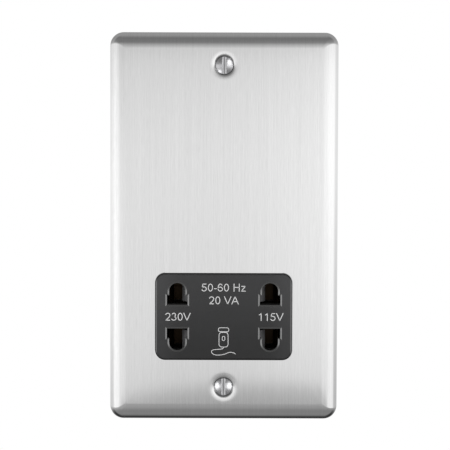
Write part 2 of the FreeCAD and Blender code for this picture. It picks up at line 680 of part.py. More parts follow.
def make_flange(z0, z1):
    """A bobbin flange: the full window wide, and proud of the core front and back."""
    flange = block(-BOBBIN_HALF, BOBBIN_HALF, COIL_FRONT, COIL_BACK, z0, z1)
    corners = [edge for edge in flange.Edges if abs(edge.Curve.Direction.z) > 0.99]
    return flange.makeFillet(WINDING_CORNER, corners)


def make_winding(z0, z1):
    """A coil wound in one section of the bobbin."""
    coil = block(-WINDING_HALF, WINDING_HALF, COIL_FRONT + WINDING_INSET, COIL_BACK - WINDING_INSET, z0, z1)
    corners = [edge for edge in coil.Edges if abs(edge.Curve.Direction.z) > 0.99]
    coil = coil.makeFillet(WINDING_CORNER, corners)
    return coil.cut(block(-TUBE_HALF, TUBE_HALF, TUBE_FRONT, TUBE_BACK, z0 - REACH, z1 + REACH))


def make_bobbin_pin(x):
    """Square-cut wire pin moulded into the lower flange."""
    return Part.makeCylinder(PIN_RADIUS, PIN_DROP + FLANGE, vector(x, PIN_Y, PIN_END))


def make_thermal_cutout():
    """Flat can against the side of the primary winding, in front of the core's leg."""
    back = CORE_FRONT - CUTOUT_GAP
    can = block(WINDING_HALF, WINDING_HALF + CUTOUT_THICKNESS, back - CUTOUT_DEPTH, back,
                PRIMARY_Z - CUTOUT_HEIGHT / 2, PRIMARY_Z + CUTOUT_HEIGHT / 2)
    outer = [edge for edge in can.Edges if abs(edge.BoundBox.Center.x - WINDING_HALF - CUTOUT_THICKNESS) < 1e-6]
    return can.makeChamfer(CUTOUT_THICKNESS / 6, outer)


def make_terminal(x, has_tail):
    """Brass block with a wire bore along Z, a tapped hole from behind and a tail to the inside."""
    half = TERMINAL_WIDTH / 2
    body = block(x - half, x + half, PLATEAU_BACK, TERMINAL_BACK, TERMINAL_TOP - TERMINAL_HEIGHT, TERMINAL_TOP)
    body = body.cut(Part.makeCylinder(TERMINAL_BORE, TERMINAL_HEIGHT + 2 * REACH,
                                      vector(x, BORE_Y, TERMINAL_TOP - TERMINAL_HEIGHT - REACH)))
    body = body.cut(bar(x, TERMINAL_Z, CLAMP_RADIUS + CLAMP_CLEARANCE, BORE_Y, TERMINAL_BACK + REACH))
    if not has_tail:
        return body
    tail = block(x - TAIL_THICKNESS / 2, x + TAIL_THICKNESS / 2, TAIL_FRONT, PLATEAU_BACK + BORE_FLOOR / 2,
                 TERMINAL_Z - TAIL_WIDTH / 2, TERMINAL_Z + TAIL_WIDTH / 2)
    return fused([body, tail])


def make_terminal_screw(x):
    """Cheese-head clamping screw, backed off so that the wire bore is open."""
    tip = BORE_Y + TERMINAL_BORE + CLAMP_OPEN
    head = TERMINAL_BACK + CLAMP_RAISE
    screw = turned(x, TERMINAL_Z, [
        (0, tip),
        (CLAMP_RADIUS, tip),
        (CLAMP_RADIUS, head),
        (CLAMP_HEAD_RADIUS, head),
        (CLAMP_HEAD_RADIUS, head + CLAMP_HEAD),
        (0, head + CLAMP_HEAD),
    ])
    reach = CLAMP_HEAD_RADIUS + REACH
    slot = block(x - reach, x + reach, head + CLAMP_HEAD - CLAMP_SLOT_DEPTH, head + CLAMP_HEAD + REACH,
                 TERMINAL_Z - CLAMP_SLOT_WIDTH / 2, TERMINAL_Z + CLAMP_SLOT_WIDTH / 2)
    return screw.cut(slot)


def make_earth_strap():
    """Tinned strip with a round eye on the stud, bent up the side to the earth terminal."""
    x, z = EARTHED_STUD
    eye = bar(x, z, STRAP_WIDTH / 2, LUG_BACK, LUG_BACK + STRAP)
    strap = fused([make_strap_body(STRAP_WIDTH, STRAP), eye])
    return strap.cut(bar(x, z, STUD_RADIUS + STUD_HOLE_CLEARANCE, LUG_BACK - REACH, LUG_BACK + STRAP + REACH))


def make_lead(name, points):
    """A round lead along straight runs joined by tangent arcs, as large as the runs allow."""
    points = [vector(*point) for point in points]
    edges = []
    start = points[0]
    for before, corner, after in zip(points, points[1:], points[2:]):
        into = (corner - before).normalize()
        out = (after - corner).normalize()
        turn = into.getAngle(out)
        tangent = 0.45 * min((corner - before).Length, (after - corner).Length)
        radius = tangent / math.tan(turn / 2)
        inward = (out - into).normalize()
        middle = corner + inward * (radius / math.cos(turn / 2) - radius)
        first = corner - into * tangent
        last = corner + out * tangent
        edges.append(Part.LineSegment(start, first).toShape())
        edges.append(Part.Arc(first, middle, last).toShape())
        start = last
        print(name, "radius", round(radius, 2))
    edges.append(Part.LineSegment(start, points[-1]).toShape())
    path = Part.Wire(edges)
    section = Part.makeCircle(LEAD_RADIUS, points[0], points[1] - points[0])
    lead = path.makePipeShell([Part.Wire([section])], True, True)
    print(name, "volume ratio", round(lead.Volume / (math.pi * LEAD_RADIUS ** 2 * path.Length), 4))
    return lead


def lead_routes():
    """The leads' points: down from the bobbin's pins, forward under the core and down to the tags."""
    tag = TAG_WIDTH / 2
    x_common, x_high, x_neutral, x_low = PIN_XS
    upper = PANEL_Z + APERTURE_MID + tag
    lower = PANEL_Z - APERTURE_MID + tag
    turn_z = CORE_BOTTOM - LEAD_TURN
    drop_z = CORE_BOTTOM - LEAD_DROP
    outside = -OUTLET_X - COMMON_ASIDE
    cutout_x = WINDING_HALF + CUTOUT_THICKNESS / 2
    cutout_y = CORE_FRONT - CUTOUT_GAP - CUTOUT_DEPTH / 2
    return {
        "common_lead": [
            (x_common, PIN_Y, PIN_END), (x_common, PIN_Y, turn_z), (outside, LEAD_Y, drop_z),
            (outside, LEAD_Y, lower + COMMON_BEND), (-OUTLET_X, LEAD_Y, lower + COMMON_RETURN),
            (-OUTLET_X, LEAD_Y, lower),
        ],
        "high_voltage_lead": [
            (x_high, PIN_Y, PIN_END), (x_high, PIN_Y, turn_z), (-OUTLET_X, LEAD_Y, drop_z),
            (-OUTLET_X, LEAD_Y, upper),
        ],
        "neutral_lead": [
            (x_neutral, PIN_Y, PIN_END), (x_neutral, PIN_Y, turn_z), (0, LEAD_Y, drop_z),
            (0, LEAD_Y, TAIL_TOP),
        ],
        "low_voltage_lead": [
            (x_low, PIN_Y, PIN_END), (x_low, PIN_Y, turn_z), (OUTLET_X, LEAD_Y, drop_z),
            (OUTLET_X, LEAD_Y, upper),
        ],
        "live_lead": [
            (cutout_x, cutout_y, PRIMARY_Z - CUTOUT_HEIGHT / 2), (cutout_x, cutout_y, CORE_BOTTOM - LIVE_TURN),
            (LIVE_CROSSING_X, LEAD_Y, CORE_BOTTOM - LIVE_CROSSING_DROP),
            (TERMINAL_SPACING, LEAD_Y, TAIL_TOP + LIVE_RETURN), (TERMINAL_SPACING, LEAD_Y, TAIL_TOP),
        ],
    }


def make_common_link():
    """Straight lead between the tags of the two lower contacts."""
    start = vector(-OUTLET_X + STRIP / 2, LEAD_Y, PANEL_Z - APERTURE_MID)
    return Part.makeCylinder(LEAD_RADIUS, OUTLET_PITCH - STRIP, start, vector(1, 0, 0))


def make_parts():
    """Every piece by its node's name."""
    parts = {
        "front_plate": make_front_plate(),
        "fixing_screws": group([make_fixing_screw(z) for z in (-SCREW_Z, SCREW_Z)]),
        "socket_insert": make_socket_insert(),
        "interlock_slider": make_interlock_slider(),
        "left_centring_spring": make_centring_spring(-1),
        "right_centring_spring": make_centring_spring(1),
        "contact_carrier": make_contact_carrier(),
        "rear_housing": make_rear_housing(),
        "weld_studs": group([make_weld_stud(x, z) for x, z in STUDS]),
        "stud_nuts": group([make_stud_nut(x, z) for x, z in STUDS]),
        "transformer_core": make_transformer_core(),
        "bobbin": make_bobbin(),
        "primary_winding": make_winding(BOBBIN_BOTTOM + FLANGE, BOBBIN_Z - MID_FLANGE / 2),
        "secondary_winding": make_winding(BOBBIN_Z + MID_FLANGE / 2, BOBBIN_TOP - FLANGE),
        "bobbin_pins": group([make_bobbin_pin(x) for x in PIN_XS]),
        "thermal_cutout": make_thermal_cutout(),
        "terminal_screws": group([make_terminal_screw(x) for x in TERMINALS.values()]),
        "earth_strap": make_earth_strap(),
        "common_link_lead": make_common_link(),
    }
    for name, (x, z) in CONTACTS.items():
        parts[name] = make_contact(x, z)
    for name, x in TERMINALS.items():
        parts[name] = make_terminal(x, name != "earth_terminal")
    for name, points in lead_routes().items():
        parts[name] = make_lead(name, points)
    return parts


os.makedirs("parts", exist_ok=True)
for node, shape in make_parts().items():
    shape.exportStep("parts/" + node + ".step")
    print(node, len(shape.Solids), "solids", round(shape.Volume, 1), shape.isValid())
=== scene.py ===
"""Looks, light and camera for the brushed steel shaver socket. Shapes are worked out in millimetres."""
import math

import bmesh
import bpy
import numpy as np
from mathutils import Matrix, Vector
from mathutils.geometry import delaunay_2d_cdt


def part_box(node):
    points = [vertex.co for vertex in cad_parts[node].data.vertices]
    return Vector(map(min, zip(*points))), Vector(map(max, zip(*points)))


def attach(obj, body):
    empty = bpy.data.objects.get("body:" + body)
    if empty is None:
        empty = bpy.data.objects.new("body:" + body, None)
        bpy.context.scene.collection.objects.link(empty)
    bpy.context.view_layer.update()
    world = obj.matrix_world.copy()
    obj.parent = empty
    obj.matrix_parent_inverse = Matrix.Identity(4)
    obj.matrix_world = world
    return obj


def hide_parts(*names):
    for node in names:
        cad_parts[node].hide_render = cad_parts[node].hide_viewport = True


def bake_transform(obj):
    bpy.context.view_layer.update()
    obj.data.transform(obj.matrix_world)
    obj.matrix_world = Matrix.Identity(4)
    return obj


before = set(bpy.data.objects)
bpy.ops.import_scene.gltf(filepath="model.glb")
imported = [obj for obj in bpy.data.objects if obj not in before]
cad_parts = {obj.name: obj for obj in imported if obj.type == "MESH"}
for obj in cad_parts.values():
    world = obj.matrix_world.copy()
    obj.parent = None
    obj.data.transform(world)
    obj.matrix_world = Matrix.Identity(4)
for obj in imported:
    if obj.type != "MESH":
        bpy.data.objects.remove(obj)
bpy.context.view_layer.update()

MM = 0.001
FULL_TURN = 2 * math.pi
QUARTER_TURN = math.pi / 2
SIXTH_TURN = math.pi / 3
TO_DEGREES = 180 / math.pi
WELD_DISTANCE = 0.002
SLIVER = WELD_DISTANCE / 4
INSIDE_ONLY = 1
MEETING_DISTANCE = 1e-6
SMOOTH_ANGLE = 32
CAD_SMOOTH_ANGLE = 20

# Steel plate
SHEET = 1.0
PLATE_CORNER = 5.2
EDGE_ROLL = 5.1
EDGE_BOW = 1.2
BOW_ANGLE = 18
CORNER_POWER = 1.8
FLAT_CORNER = 0.8
SHEARED_EDGE = 0.2
CORNER_POINTS = 16
ROLL_POINTS = 26
BOW_POINTS = 12
EDGE_POINTS = 4

# Screw seats and fixing screws
SCREW_Z = 60.3
HEAD_RADIUS = 3.3
HEAD_RISE = 1.1
SLOT_WIDTH = 0.7
SLOT_LAND = 0.4
LAND_HEIGHT = 0.12
SLOT_LIP = 0.1
NECK_RADIUS = 1.45
NECK_LENGTH = 1.6
THREAD_RADIUS = 1.75
THREAD_DEPTH = 0.36
THREAD_PITCH = 0.6
THREAD_POINTS = 6
SCREW_POINT = 0.5
LIP_POINTS = 5
DOME_COLUMNS = 22
DOME_ROWS = 34
SEAT_DISH = 0.14
SEAT_DISH_RADIUS = 4.9
SEAT_SHORE = 5.6
SEAT_SLOPE = 4.4
SEAT_STEP = 0.5
SEAT_STEP_RADIUS = 3.8
STEP_SOFTNESS = 0.15
SEAT_HOLE = 2.1
SEAT_FLAT = 6.4
DISH_POINTS = 14
BRINK_POINTS = 5
FOOT_POINTS = 4
RING_POINTS = 72

# Panel of the socket insert
PANEL_HALF_WIDTH = 25.45
PANEL_HALF_HEIGHT = 16.025
PANEL_CORNER = 3.5
PANEL_GAP = 0.25
PANEL_EDGE = 0.5
PANEL_Z = -33.775
PANEL_FRONT = -6.8
OUTLET_X = 17.4
BEVEL_DEPTH = 0.3
OUTLET_REACH_X = 4.8
OUTLET_REACH_Z = 14.0
EDGE_HIGHLIGHT = 0.5
WINDOW_LIP = 0.15
WINDOW_FLAT = 0.4
WINDOW_FRONT_POINTS = 5
WINDOW_BACK_POINTS = 3

# Centring springs, with one closed turn at each end
SPRING_RADIUS = 1.925
SPRING_WIRE = 0.45
SPRING_TURNS = 5
SPRING_END_TURNS = 2
CLOSED_PITCH = 1.1
SPRING_Y = -1.9
SPRING_TURN_POINTS = 36
WIRE_POINTS = 12

# Studs and nuts
STUD_RADIUS = 1.5
STUD_PITCH = 0.5
STUD_THREAD_DEPTH = 0.3
STUD_ROOT = 1.0
STUD_CHAMFER = 0.3
STUD_POINTS = 40
NUT_FLATS = 5.5
NUT_THICKNESS = 2.4
NUT_BORE = 1.55
NUT_CHAMFER_RADIUS = 2.72
NUT_CHAMFER_ANGLE = 30
NUT_POINTS = 96

# Print on the panel
PRINT_LIFT = 0.012
PRINT_STROKE = 0.31
FIGURE_HEIGHT = 2.97
FIGURE_MIDDLE = 0.5
PRINT_SHIFT = 0.2
SUPPLY_RISE = 11.0
RATING_RISE = 6.2

# Pictogram: each outline's half width, half height, depth of its middle below the top, and corner
PICTOGRAM_STROKE = 0.24
PICTOGRAM_DROP = 4.1
SHAVER_HEAD = (1.95, 0.75, 0.75, 0.65)
SHAVER_GRIP = (1.7, 2.75, 4.5, 1.1)
SHAVER_SWITCH = (0.5, 0.8, 4.0, 0.5)
CORD_DROP = 7.3
CORD_BENDS = [
    [(0, 0), (0, -1.5), (-4.7, -0.2), (-4.5, -1.8)],
    [(-4.5, -1.8), (-4.3, -3.4), (-0.6, -3.2), (1.2, -2.3)],
    [(1.2, -2.3), (2.2, -1.8), (3.5, -1.7), (4.5, -2.6)],
]


def node_box(node):
    """Lowest and highest corner of a CAD node in millimetres."""
    low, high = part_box(node)
    return np.array(low) / MM, np.array(high) / MM


PLATE_LOW, PLATE_HIGH = node_box("front_plate")
SCREWS_LOW, SCREWS_HIGH = node_box("fixing_screws")
PLATE_FRONT = PLATE_LOW[1]
PLATE_BACK = PLATE_FRONT + SHEET


def grid_faces(rows, columns, closed):
    """Quads of a grid, with its last column joined to its first where it is closed."""
    last = columns if closed else columns - 1
    row, column = np.meshgrid(np.arange(rows - 1), np.arange(last), indexing="ij")
    after = (column + 1) % columns
    quads = np.stack([row * columns + column, row * columns + after,
                      (row + 1) * columns + after, (row + 1) * columns + column], axis=-1)
    return quads.reshape(-1, 4)


def sheet_of(points, closed=True):
    """A grid of points as a list of points and a list of faces."""
    rows, columns = points.shape[:2]
    return points.reshape(-1, 3), grid_faces(rows, columns, closed).tolist()


def cap_of(loop):
    """A loop of points closed by one face."""
    return loop, [list(range(len(loop)))]


def add_piece(name, surfaces, material, body="base", recalculate=True, flats=True, smooth_angle=SMOOTH_ANGLE):
    """One mesh object from several surfaces, welded, turned outwards and smooth up to an angle in degrees."""
    points = np.concatenate([surface[0] for surface in surfaces])
    faces = []
    first = 0
    for surface_points, surface_faces in surfaces:
        faces += [[first + corner for corner in face] for face in surface_faces]
        first += len(surface_points)
    mesh = bpy.data.meshes.new(name)
    mesh.from_pydata((points * MM).tolist(), [], faces)
    work = bmesh.new()
    work.from_mesh(mesh)
    bmesh.ops.remove_doubles(work, verts=work.verts, dist=WELD_DISTANCE * MM)
    bmesh.ops.dissolve_degenerate(work, edges=work.edges, dist=SLIVER * MM)
    if recalculate:
        bmesh.ops.recalc_face_normals(work, faces=work.faces)
    work.to_mesh(mesh)
    work.free()
    mesh.shade_smooth()
    mesh.set_sharp_from_angle(angle=math.radians(smooth_angle))
    mesh.materials.append(material)
    piece = bpy.data.objects.new(name, mesh)
    bpy.context.scene.collection.objects.link(piece)
    if flats:
        even = piece.modifiers.new("even_normals", "WEIGHTED_NORMAL")
        even.keep_sharp = True
    if body:
        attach(piece, body)
    return piece


def dress_node(node, material, body="base"):
    """A welded, smoothly shaded copy of a CAD node that stands for the node."""
    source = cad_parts[node].data
    points = np.empty(len(source.vertices) * 3)
    source.vertices.foreach_get("co", points)
    corners = np.empty(len(source.loops), dtype=int)
    source.loops.foreach_get("vertex_index", corners)
    surface = (points.reshape(-1, 3) / MM, corners.reshape(-1, 3).tolist())
    piece = add_piece(node + "_finished", [surface], material, body, recalculate=False,
                      smooth_angle=CAD_SMOOTH_ANGLE)
    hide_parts(node)
    return piece


def profile(*stretches):
    """One profile from stretches of offset and y pairs."""
    return np.concatenate([np.atleast_2d(np.array(stretch, dtype=float)) for stretch in stretches])


def arc(centre, radius, start, end, count):
    """Points on an arc: the centre plus the radius times the cosine and sine of even angles."""
    angles = np.radians(np.linspace(start, end, count))
    return np.array(centre) + radius * np.stack([np.cos(angles), np.sin(angles)], axis=1)


def bend(start, corner, end, count):
    """Points on a parabola from start to end that leaves and arrives along the lines to the corner."""
    t = np.linspace(0, 1, count)[:, None]
    return (1 - t) ** 2 * np.array(start) + 2 * t * (1 - t) * np.array(corner) + t ** 2 * np.array(end)


def curve(*corners, count=24):
    """Points on a curve of any degree: the sum of its corners times the terms of the binomial formula."""
    t = np.linspace(0, 1, count)[:, None]
    degree = len(corners) - 1
    return sum(math.comb(degree, k) * t ** k * (1 - t) ** (degree - k) * np.array(corner, dtype=float)
               for k, corner in enumerate(corners))


def oval(x, z, half_x, half_z, start, end, count=28):
    """Points on an oval: its middle plus the half axes times cosine and sine of even angles in degrees."""
    angles = np.radians(np.linspace(start, end, count))
    return np.stack([x + half_x * np.cos(angles), z + half_z * np.sin(angles)], axis=1)


def towards(start, end):
    """The direction from one point to another."""
    step = np.array(end) - np.array(start)
    return step / np.linalg.norm(step)


def rounded_loop(half_x, half_z, middle_z, corner):
    """Corner centres and outward directions round a rectangle with round corners."""
    quarter = np.linspace(0, QUARTER_TURN, CORNER_POINTS)
    angles = np.concatenate([quarter + k * QUARTER_TURN for k in range(4)])
    signs = np.repeat([(1, 1), (-1, 1), (-1, -1), (1, -1)], CORNER_POINTS, axis=0)
    centres = signs * (half_x - corner, half_z - corner) + (0, middle_z)
    return centres, np.stack([np.cos(angles), np.sin(angles)], axis=1)


def round_loop(x, z, angles):
    """One centre with a direction for each angle."""
    directions = np.stack([np.cos(angles), np.sin(angles)], axis=1)
    return np.broadcast_to((x, z), directions.shape), directions


def even_angles(count):
    return np.linspace(0, FULL_TURN, count, endpoint=False)


def carried(outline, loop, insets=0.0):
    """A profile carried round a loop: each point is a centre plus the offset times its direction, at y.

    An inset moves a corner's centre in along its diagonal and makes the corner rounder by as much.
    """
    centres, directions = loop
    offsets = outline[:, 0, None, None]
    insets = np.broadcast_to(insets, len(outline))[:, None, None]
    diagonals = np.sign(centres - centres.mean(axis=0))
    flat = centres - insets * diagonals + (offsets + insets) * directions
    y = np.broadcast_to(outline[:, 1, None], flat.shape[:2])
    return np.stack([flat[..., 0], y, flat[..., 1]], axis=-1)


def turned(x, z, angles, radii, y):
    """Points round a centre: it plus the radii times the cosine and sine of the angles, at y."""
    across = x + radii * np.cos(angles)
    upward = z + radii * np.sin(angles)
    return np.stack([across, np.broadcast_to(y, radii.shape), upward], axis=-1)


def threaded(x, z, angles, y0, y1, radius, depth, pitch):
    """A thread: the radius less a triangle wave of y over the pitch minus the angle, faded at both ends."""
    y = np.linspace(y0, y1, int((y1 - y0) / pitch * THREAD_POINTS))[:, None]
    phase = (y / pitch - angles[None] / FULL_TURN) % 1
    fade = np.clip((y - y0) / pitch, 0, 1) * np.clip((y1 - y) / pitch, 0, 1)
    radii = radius - depth * (1 - np.abs(2 * phase - 1)) * fade
    return turned(x, z, angles, radii, y)


class Signal:
    """An output of a node; arithmetic on it adds Math nodes."""

    def __init__(self, graph, socket):
        self.graph = graph
        self.socket = socket

    def __add__(self, other):
        return self.graph.math("ADD", self, other)

    def __radd__(self, other):
        return self.graph.math("ADD", other, self)

    def __sub__(self, other):
        return self.graph.math("SUBTRACT", self, other)

    def __rsub__(self, other):
        return self.graph.math("SUBTRACT", other, self)

    def __mul__(self, other):
        return self.graph.math("MULTIPLY", self, other)

    def __rmul__(self, other):
        return self.graph.math("MULTIPLY", other, self)

    def __truediv__(self, other):
        return self.graph.math("DIVIDE", self, other)

    def __pow__(self, other):
        return self.graph.math("POWER", self, other)

    def __abs__(self):
        return self.graph.math("ABSOLUTE", self)

    def __gt__(self, other):
        return self.graph.math("GREATER_THAN", self, other)

    def part(self, name):
        """Another output of the same node, by its name or number."""
        return Signal(self.graph, self.socket.node.outputs[name])


# Colour sockets of a Mix node, by their numbers
MIX_FIRST = 6
MIX_SECOND = 7
MIX_RESULT = 2


class Graph:
    """A node tree that is being filled."""

    def __init__(self, tree):
        self.tree = tree
        tree.nodes.clear()

    def node(self, kind, settings=None, inputs=None):
        """Adds a node: its settings first, a ramp's stops among them, then values or links of its sockets."""
        made = self.tree.nodes.new(kind)
        for key, value in (settings or {}).items():
            if key == "stops":
                self.set_stops(made.color_ramp, value)
            else:
                setattr(made, key, value)
        for key, value in (inputs or {}).items():
            if isinstance(value, Signal):
                self.tree.links.new(value.socket, made.inputs[key])
            else:
                made.inputs[key].default_value = value
        return Signal(self, made.outputs[0]) if made.outputs else made

    def math(self, operation, left, right=0.0):
        return self.node("ShaderNodeMath", {"operation": operation}, {0: left, 1: right})

    def set_stops(self, ramp, stops):
        while len(ramp.elements) < len(stops):
            ramp.elements.new(1.0)
        for element, (position, level) in zip(ramp.elements, stops):
            element.position = position
            element.color = (level, level, level, 1) if isinstance(level, float) else (*level, 1)

    def place(self):
        """Object coordinates in millimetres."""
        at = self.node("ShaderNodeTexCoord").part("Object")
        return self.node("ShaderNodeVectorMath", {"operation": "SCALE"}, {0: at, "Scale": 1 / MM})

    def axes(self, vector):
        """The three parts of a vector."""
        split = self.node("ShaderNodeSeparateXYZ", None, {0: vector})
        return split, split.part("Y"), split.part("Z")

    def vector(self, x, y, z):
        return self.node("ShaderNodeCombineXYZ", None, {0: x, 1: y, 2: z})

    def noise(self, vector, scale, detail=3.0, roughness=0.5):
        return self.node("ShaderNodeTexNoise", None,
                         {"Vector": vector, "Scale": scale, "Detail": detail, "Roughness": roughness})

    def smooth(self, value, low, high):
        """A smooth step from 0 at low to 1 at high."""
        return self.node("ShaderNodeMapRange", {"interpolation_type": "SMOOTHSTEP"},
                         {0: value, 1: low, 2: high, 3: 0.0, 4: 1.0})

    def blend(self, factor, first, second):
        """A mix of two colours."""
        inputs = {"Factor": factor}
        for socket, colour in ((MIX_FIRST, first), (MIX_SECOND, second)):
            inputs[socket] = colour if isinstance(colour, Signal) else (*colour, 1)
        return self.node("ShaderNodeMix", {"data_type": "RGBA"}, inputs).part(MIX_RESULT)

    def bump(self, height, distance, strength=1.0):
        """A bump of a height signal, with its depth in millimetres."""
        inputs = {"Height": height, "Distance": distance * MM, "Strength": strength}
        return self.node("ShaderNodeBump", None, inputs)


def new_finish(name):
    """An empty material and the graph of its nodes."""
    material = bpy.data.materials.new(name)
    material.use_nodes = True
    return material, Graph(material.node_tree)


def close_finish(graph, inputs):
    """Ends a material in a Principled shader with these socket values and links."""
    shader = graph.node("ShaderNodeBsdfPrincipled", None, inputs)
    graph.node("ShaderNodeOutputMaterial", None, {"Surface": shader})


def grey(level):
    return (level, level, level, 1)


BLACK = (0.0, 0.0, 0.0)
WHITE = (1.0, 1.0, 1.0)

# Brushed steel: how often its lines change across and along the sheet, and the noise that they are cut from
LONG_LINES = {"across": 3.2, "along": 0.02, "layer": 0.0, "detail": 4.0, "roughness": 0.6}
SHORT_LINES = {"across": 4.5, "along": 0.2, "layer": 3.0, "detail": 3.0, "roughness": 0.6}
BROAD_BANDS = {"across": 0.55, "along": 0.012, "layer": 7.0, "detail": 2.0, "roughness": 0.5}
LONG_SHARE = 0.4
SHORT_SHARE = 0.45
BROAD_SHARE = 0.15
LONG_HEIGHT = 0.6
SHORT_HEIGHT = 0.4
BRUSH_DEPTH = 0.006
SIDE_BLEND = 1.0
STEEL_TONE = 0.56
STEEL_TONE_SPREAD = 0.32
STEEL_ROUGHNESS = 0.045
STEEL_ROUGHNESS_SPREAD = 0.03
# Screw seats in the steel: painted shade in the step, a painted highlight on the slope, and a duller dish
STEP_SHADE_TONE = 0.45
STEP_SHADE_INWARD = 0.2
STEP_SHADE_OUTWARD = 0.1
SLOPE_HIGHLIGHT = 0.1
SEAT_DULLNESS = 0.11


def brushed_steel():
    """Satin steel brushed up the front and over its rolled ends, with painted shade in the step round each
    screw and a painted highlight on each seat's slope.
    """
    material, graph = new_finish("brushed_steel")
    x, y, z = graph.axes(graph.place())
    side = PLATE_HIGH[0] - PLATE_CORNER
    across_sheet = x + (y - PLATE_FRONT) * graph.smooth(abs(x), side, side + SIDE_BLEND)

    def brush(place, across, along, layer, detail, roughness):
        return graph.noise(graph.vector(across_sheet * across, layer, place * along), 1.0, detail, roughness)

    long = brush(z + y, **LONG_LINES)
    short = brush(z + y, **SHORT_LINES)
    broad = brush(z, **BROAD_BANDS)
    lines = long * LONG_SHARE + short * SHORT_SHARE + broad * BROAD_SHARE
    beyond = abs(z) - SCREW_Z
    from_screw = (x * x + beyond * beyond) ** 0.5
    # Painted shade: the steel's tone is darkened in the step round each screw head, where shade falls.
    shade_start = SEAT_STEP_RADIUS - STEP_SHADE_INWARD
    shade_end = SEAT_STEP_RADIUS + STEP_SHADE_OUTWARD
    outside = graph.smooth(from_screw, shade_start, shade_end)
    step_shade = outside * (1 - STEP_SHADE_TONE) + STEP_SHADE_TONE
    # Painted highlight: the tone is raised by up to a tenth inside the slope of each seat.
    slope_highlight = 1 + SLOPE_HIGHLIGHT - graph.smooth(from_screw, SEAT_SLOPE, SEAT_SHORE) * SLOPE_HIGHLIGHT
    dished = 1 - graph.smooth(from_screw, SEAT_SLOPE, SEAT_FLAT)
    tone = (lines * STEEL_TONE_SPREAD + STEEL_TONE) * step_shade * slope_highlight
    close_finish(graph, {
        "Base Color": graph.blend(tone, BLACK, WHITE),
        "Metallic": 1.0,
        "Roughness": lines * STEEL_ROUGHNESS_SPREAD + STEEL_ROUGHNESS + dished * SEAT_DULLNESS,
        "Normal": graph.bump(long * LONG_HEIGHT + short * SHORT_HEIGHT, BRUSH_DEPTH),
    })
    return material


# Chromed screws: polishing marks, painted highlights on the lands and painted shade in the slot
CHROME_TINT = (1.0, 1.0, 1.02)
CHROME_TONE = 0.54
CHROME_ROUGHNESS = 0.3
CHROME_SPREAD = 0.12
LAND_HIGHLIGHT = 0.17
LAND_EDGE = 0.03
SLOT_SHADE = 0.43
SLOT_SHADE_EDGE = 0.08


def chrome():
    """Bright plated steel with faint polishing marks, a painted highlight on the lands beside the slot and
    painted shade in its cut.
    """
    material, graph = new_finish("chrome")
    at = graph.place()
    aside = abs(graph.axes(at)[0])
    marks = graph.noise(at, scale=2.5, detail=4.0)
    cut = SLOT_WIDTH / 2
    land = cut + SLOT_LAND
    # Painted shade in the slot's cut and a painted highlight on the flat lands beside it, both in the
    # chrome's tone.
    slot_shade = 1 - graph.smooth(aside, cut - SLOT_SHADE_EDGE, cut)
    painted_highlight = 1 - graph.smooth(aside, land - LAND_EDGE, land)
    tone = marks * CHROME_SPREAD + CHROME_TONE + painted_highlight * LAND_HIGHLIGHT - slot_shade * SLOT_SHADE
    close_finish(graph, {
        "Base Color": graph.blend(tone, BLACK, CHROME_TINT),
        "Metallic": 1.0,
        "Roughness": marks * CHROME_SPREAD + CHROME_ROUGHNESS,
    })
    return material


# Plain metals: clouds and drawn marks
METAL_SCALE = 1.2
METAL_SPREAD = 0.2
DRAWN_FINENESS = 8
DRAWN_DEPTH = 0.004
DRAWN_STRENGTH = 0.3


def plain_metal(name, dark, light, roughness):
    """Metal with a cloudy tone and fine drawn marks."""
    material, graph = new_finish(name)
    at = graph.place()
    cloud = graph.noise(at, METAL_SCALE, detail=5.0, roughness=0.6)
    drawn = graph.noise(at, METAL_SCALE * DRAWN_FINENESS, detail=2.0)
    close_finish(graph, {
        "Base Color": graph.blend(cloud, dark, light),
        "Metallic": 1.0,
        "Roughness": cloud * METAL_SPREAD + (roughness - METAL_SPREAD / 2),
        "Normal": graph.bump(drawn, DRAWN_DEPTH, DRAWN_STRENGTH),
    })
    return material


# Plain mouldings: clouds and eroded grain
MOULD_SCALE = 0.25
MOULD_SPREAD = 0.16
MOULD_STRENGTH = 0.5


def moulded(name, dark, light, roughness, grain=6.0, depth=0.008):
    """Moulded plastic with a fine eroded grain."""
    material, graph = new_finish(name)
    at = graph.place()
    cloud = graph.noise(at, MOULD_SCALE)
    texture = graph.noise(at, grain, detail=2.0, roughness=0.6)
    close_finish(graph, {
        "Base Color": graph.blend(cloud, dark, light),
        "Roughness": texture * MOULD_SPREAD + (roughness - MOULD_SPREAD / 2),
        "Normal": graph.bump(texture, depth, MOULD_STRENGTH),
    })
    return material


# Panel plastic: what its clouds, its painted top light and its painted side light add to the tone, its grain,
# and the painted highlights on its edges
PANEL_TINT = (1.0, 1.0, 1.04)
PANEL_TONE = 0.004
PANEL_CLOUDS = 0.004
PANEL_TOP_LIGHT = 0.011
PANEL_SIDE_LIGHT = 0.009
SIDE_LIGHT_START = 0.6
PANEL_GRAIN_DEPTH = 0.006
PANEL_GRAIN_STRENGTH = 0.4
PANEL_ROUGHNESS = 0.3
PANEL_SPREAD = 0.12
HIGHLIGHT_TONE = (0.23, 0.23, 0.23)
HIGHLIGHT_GLOSS = 0.1
BEVEL_START = (0.01, 0.03)
BEVEL_END = 0.02


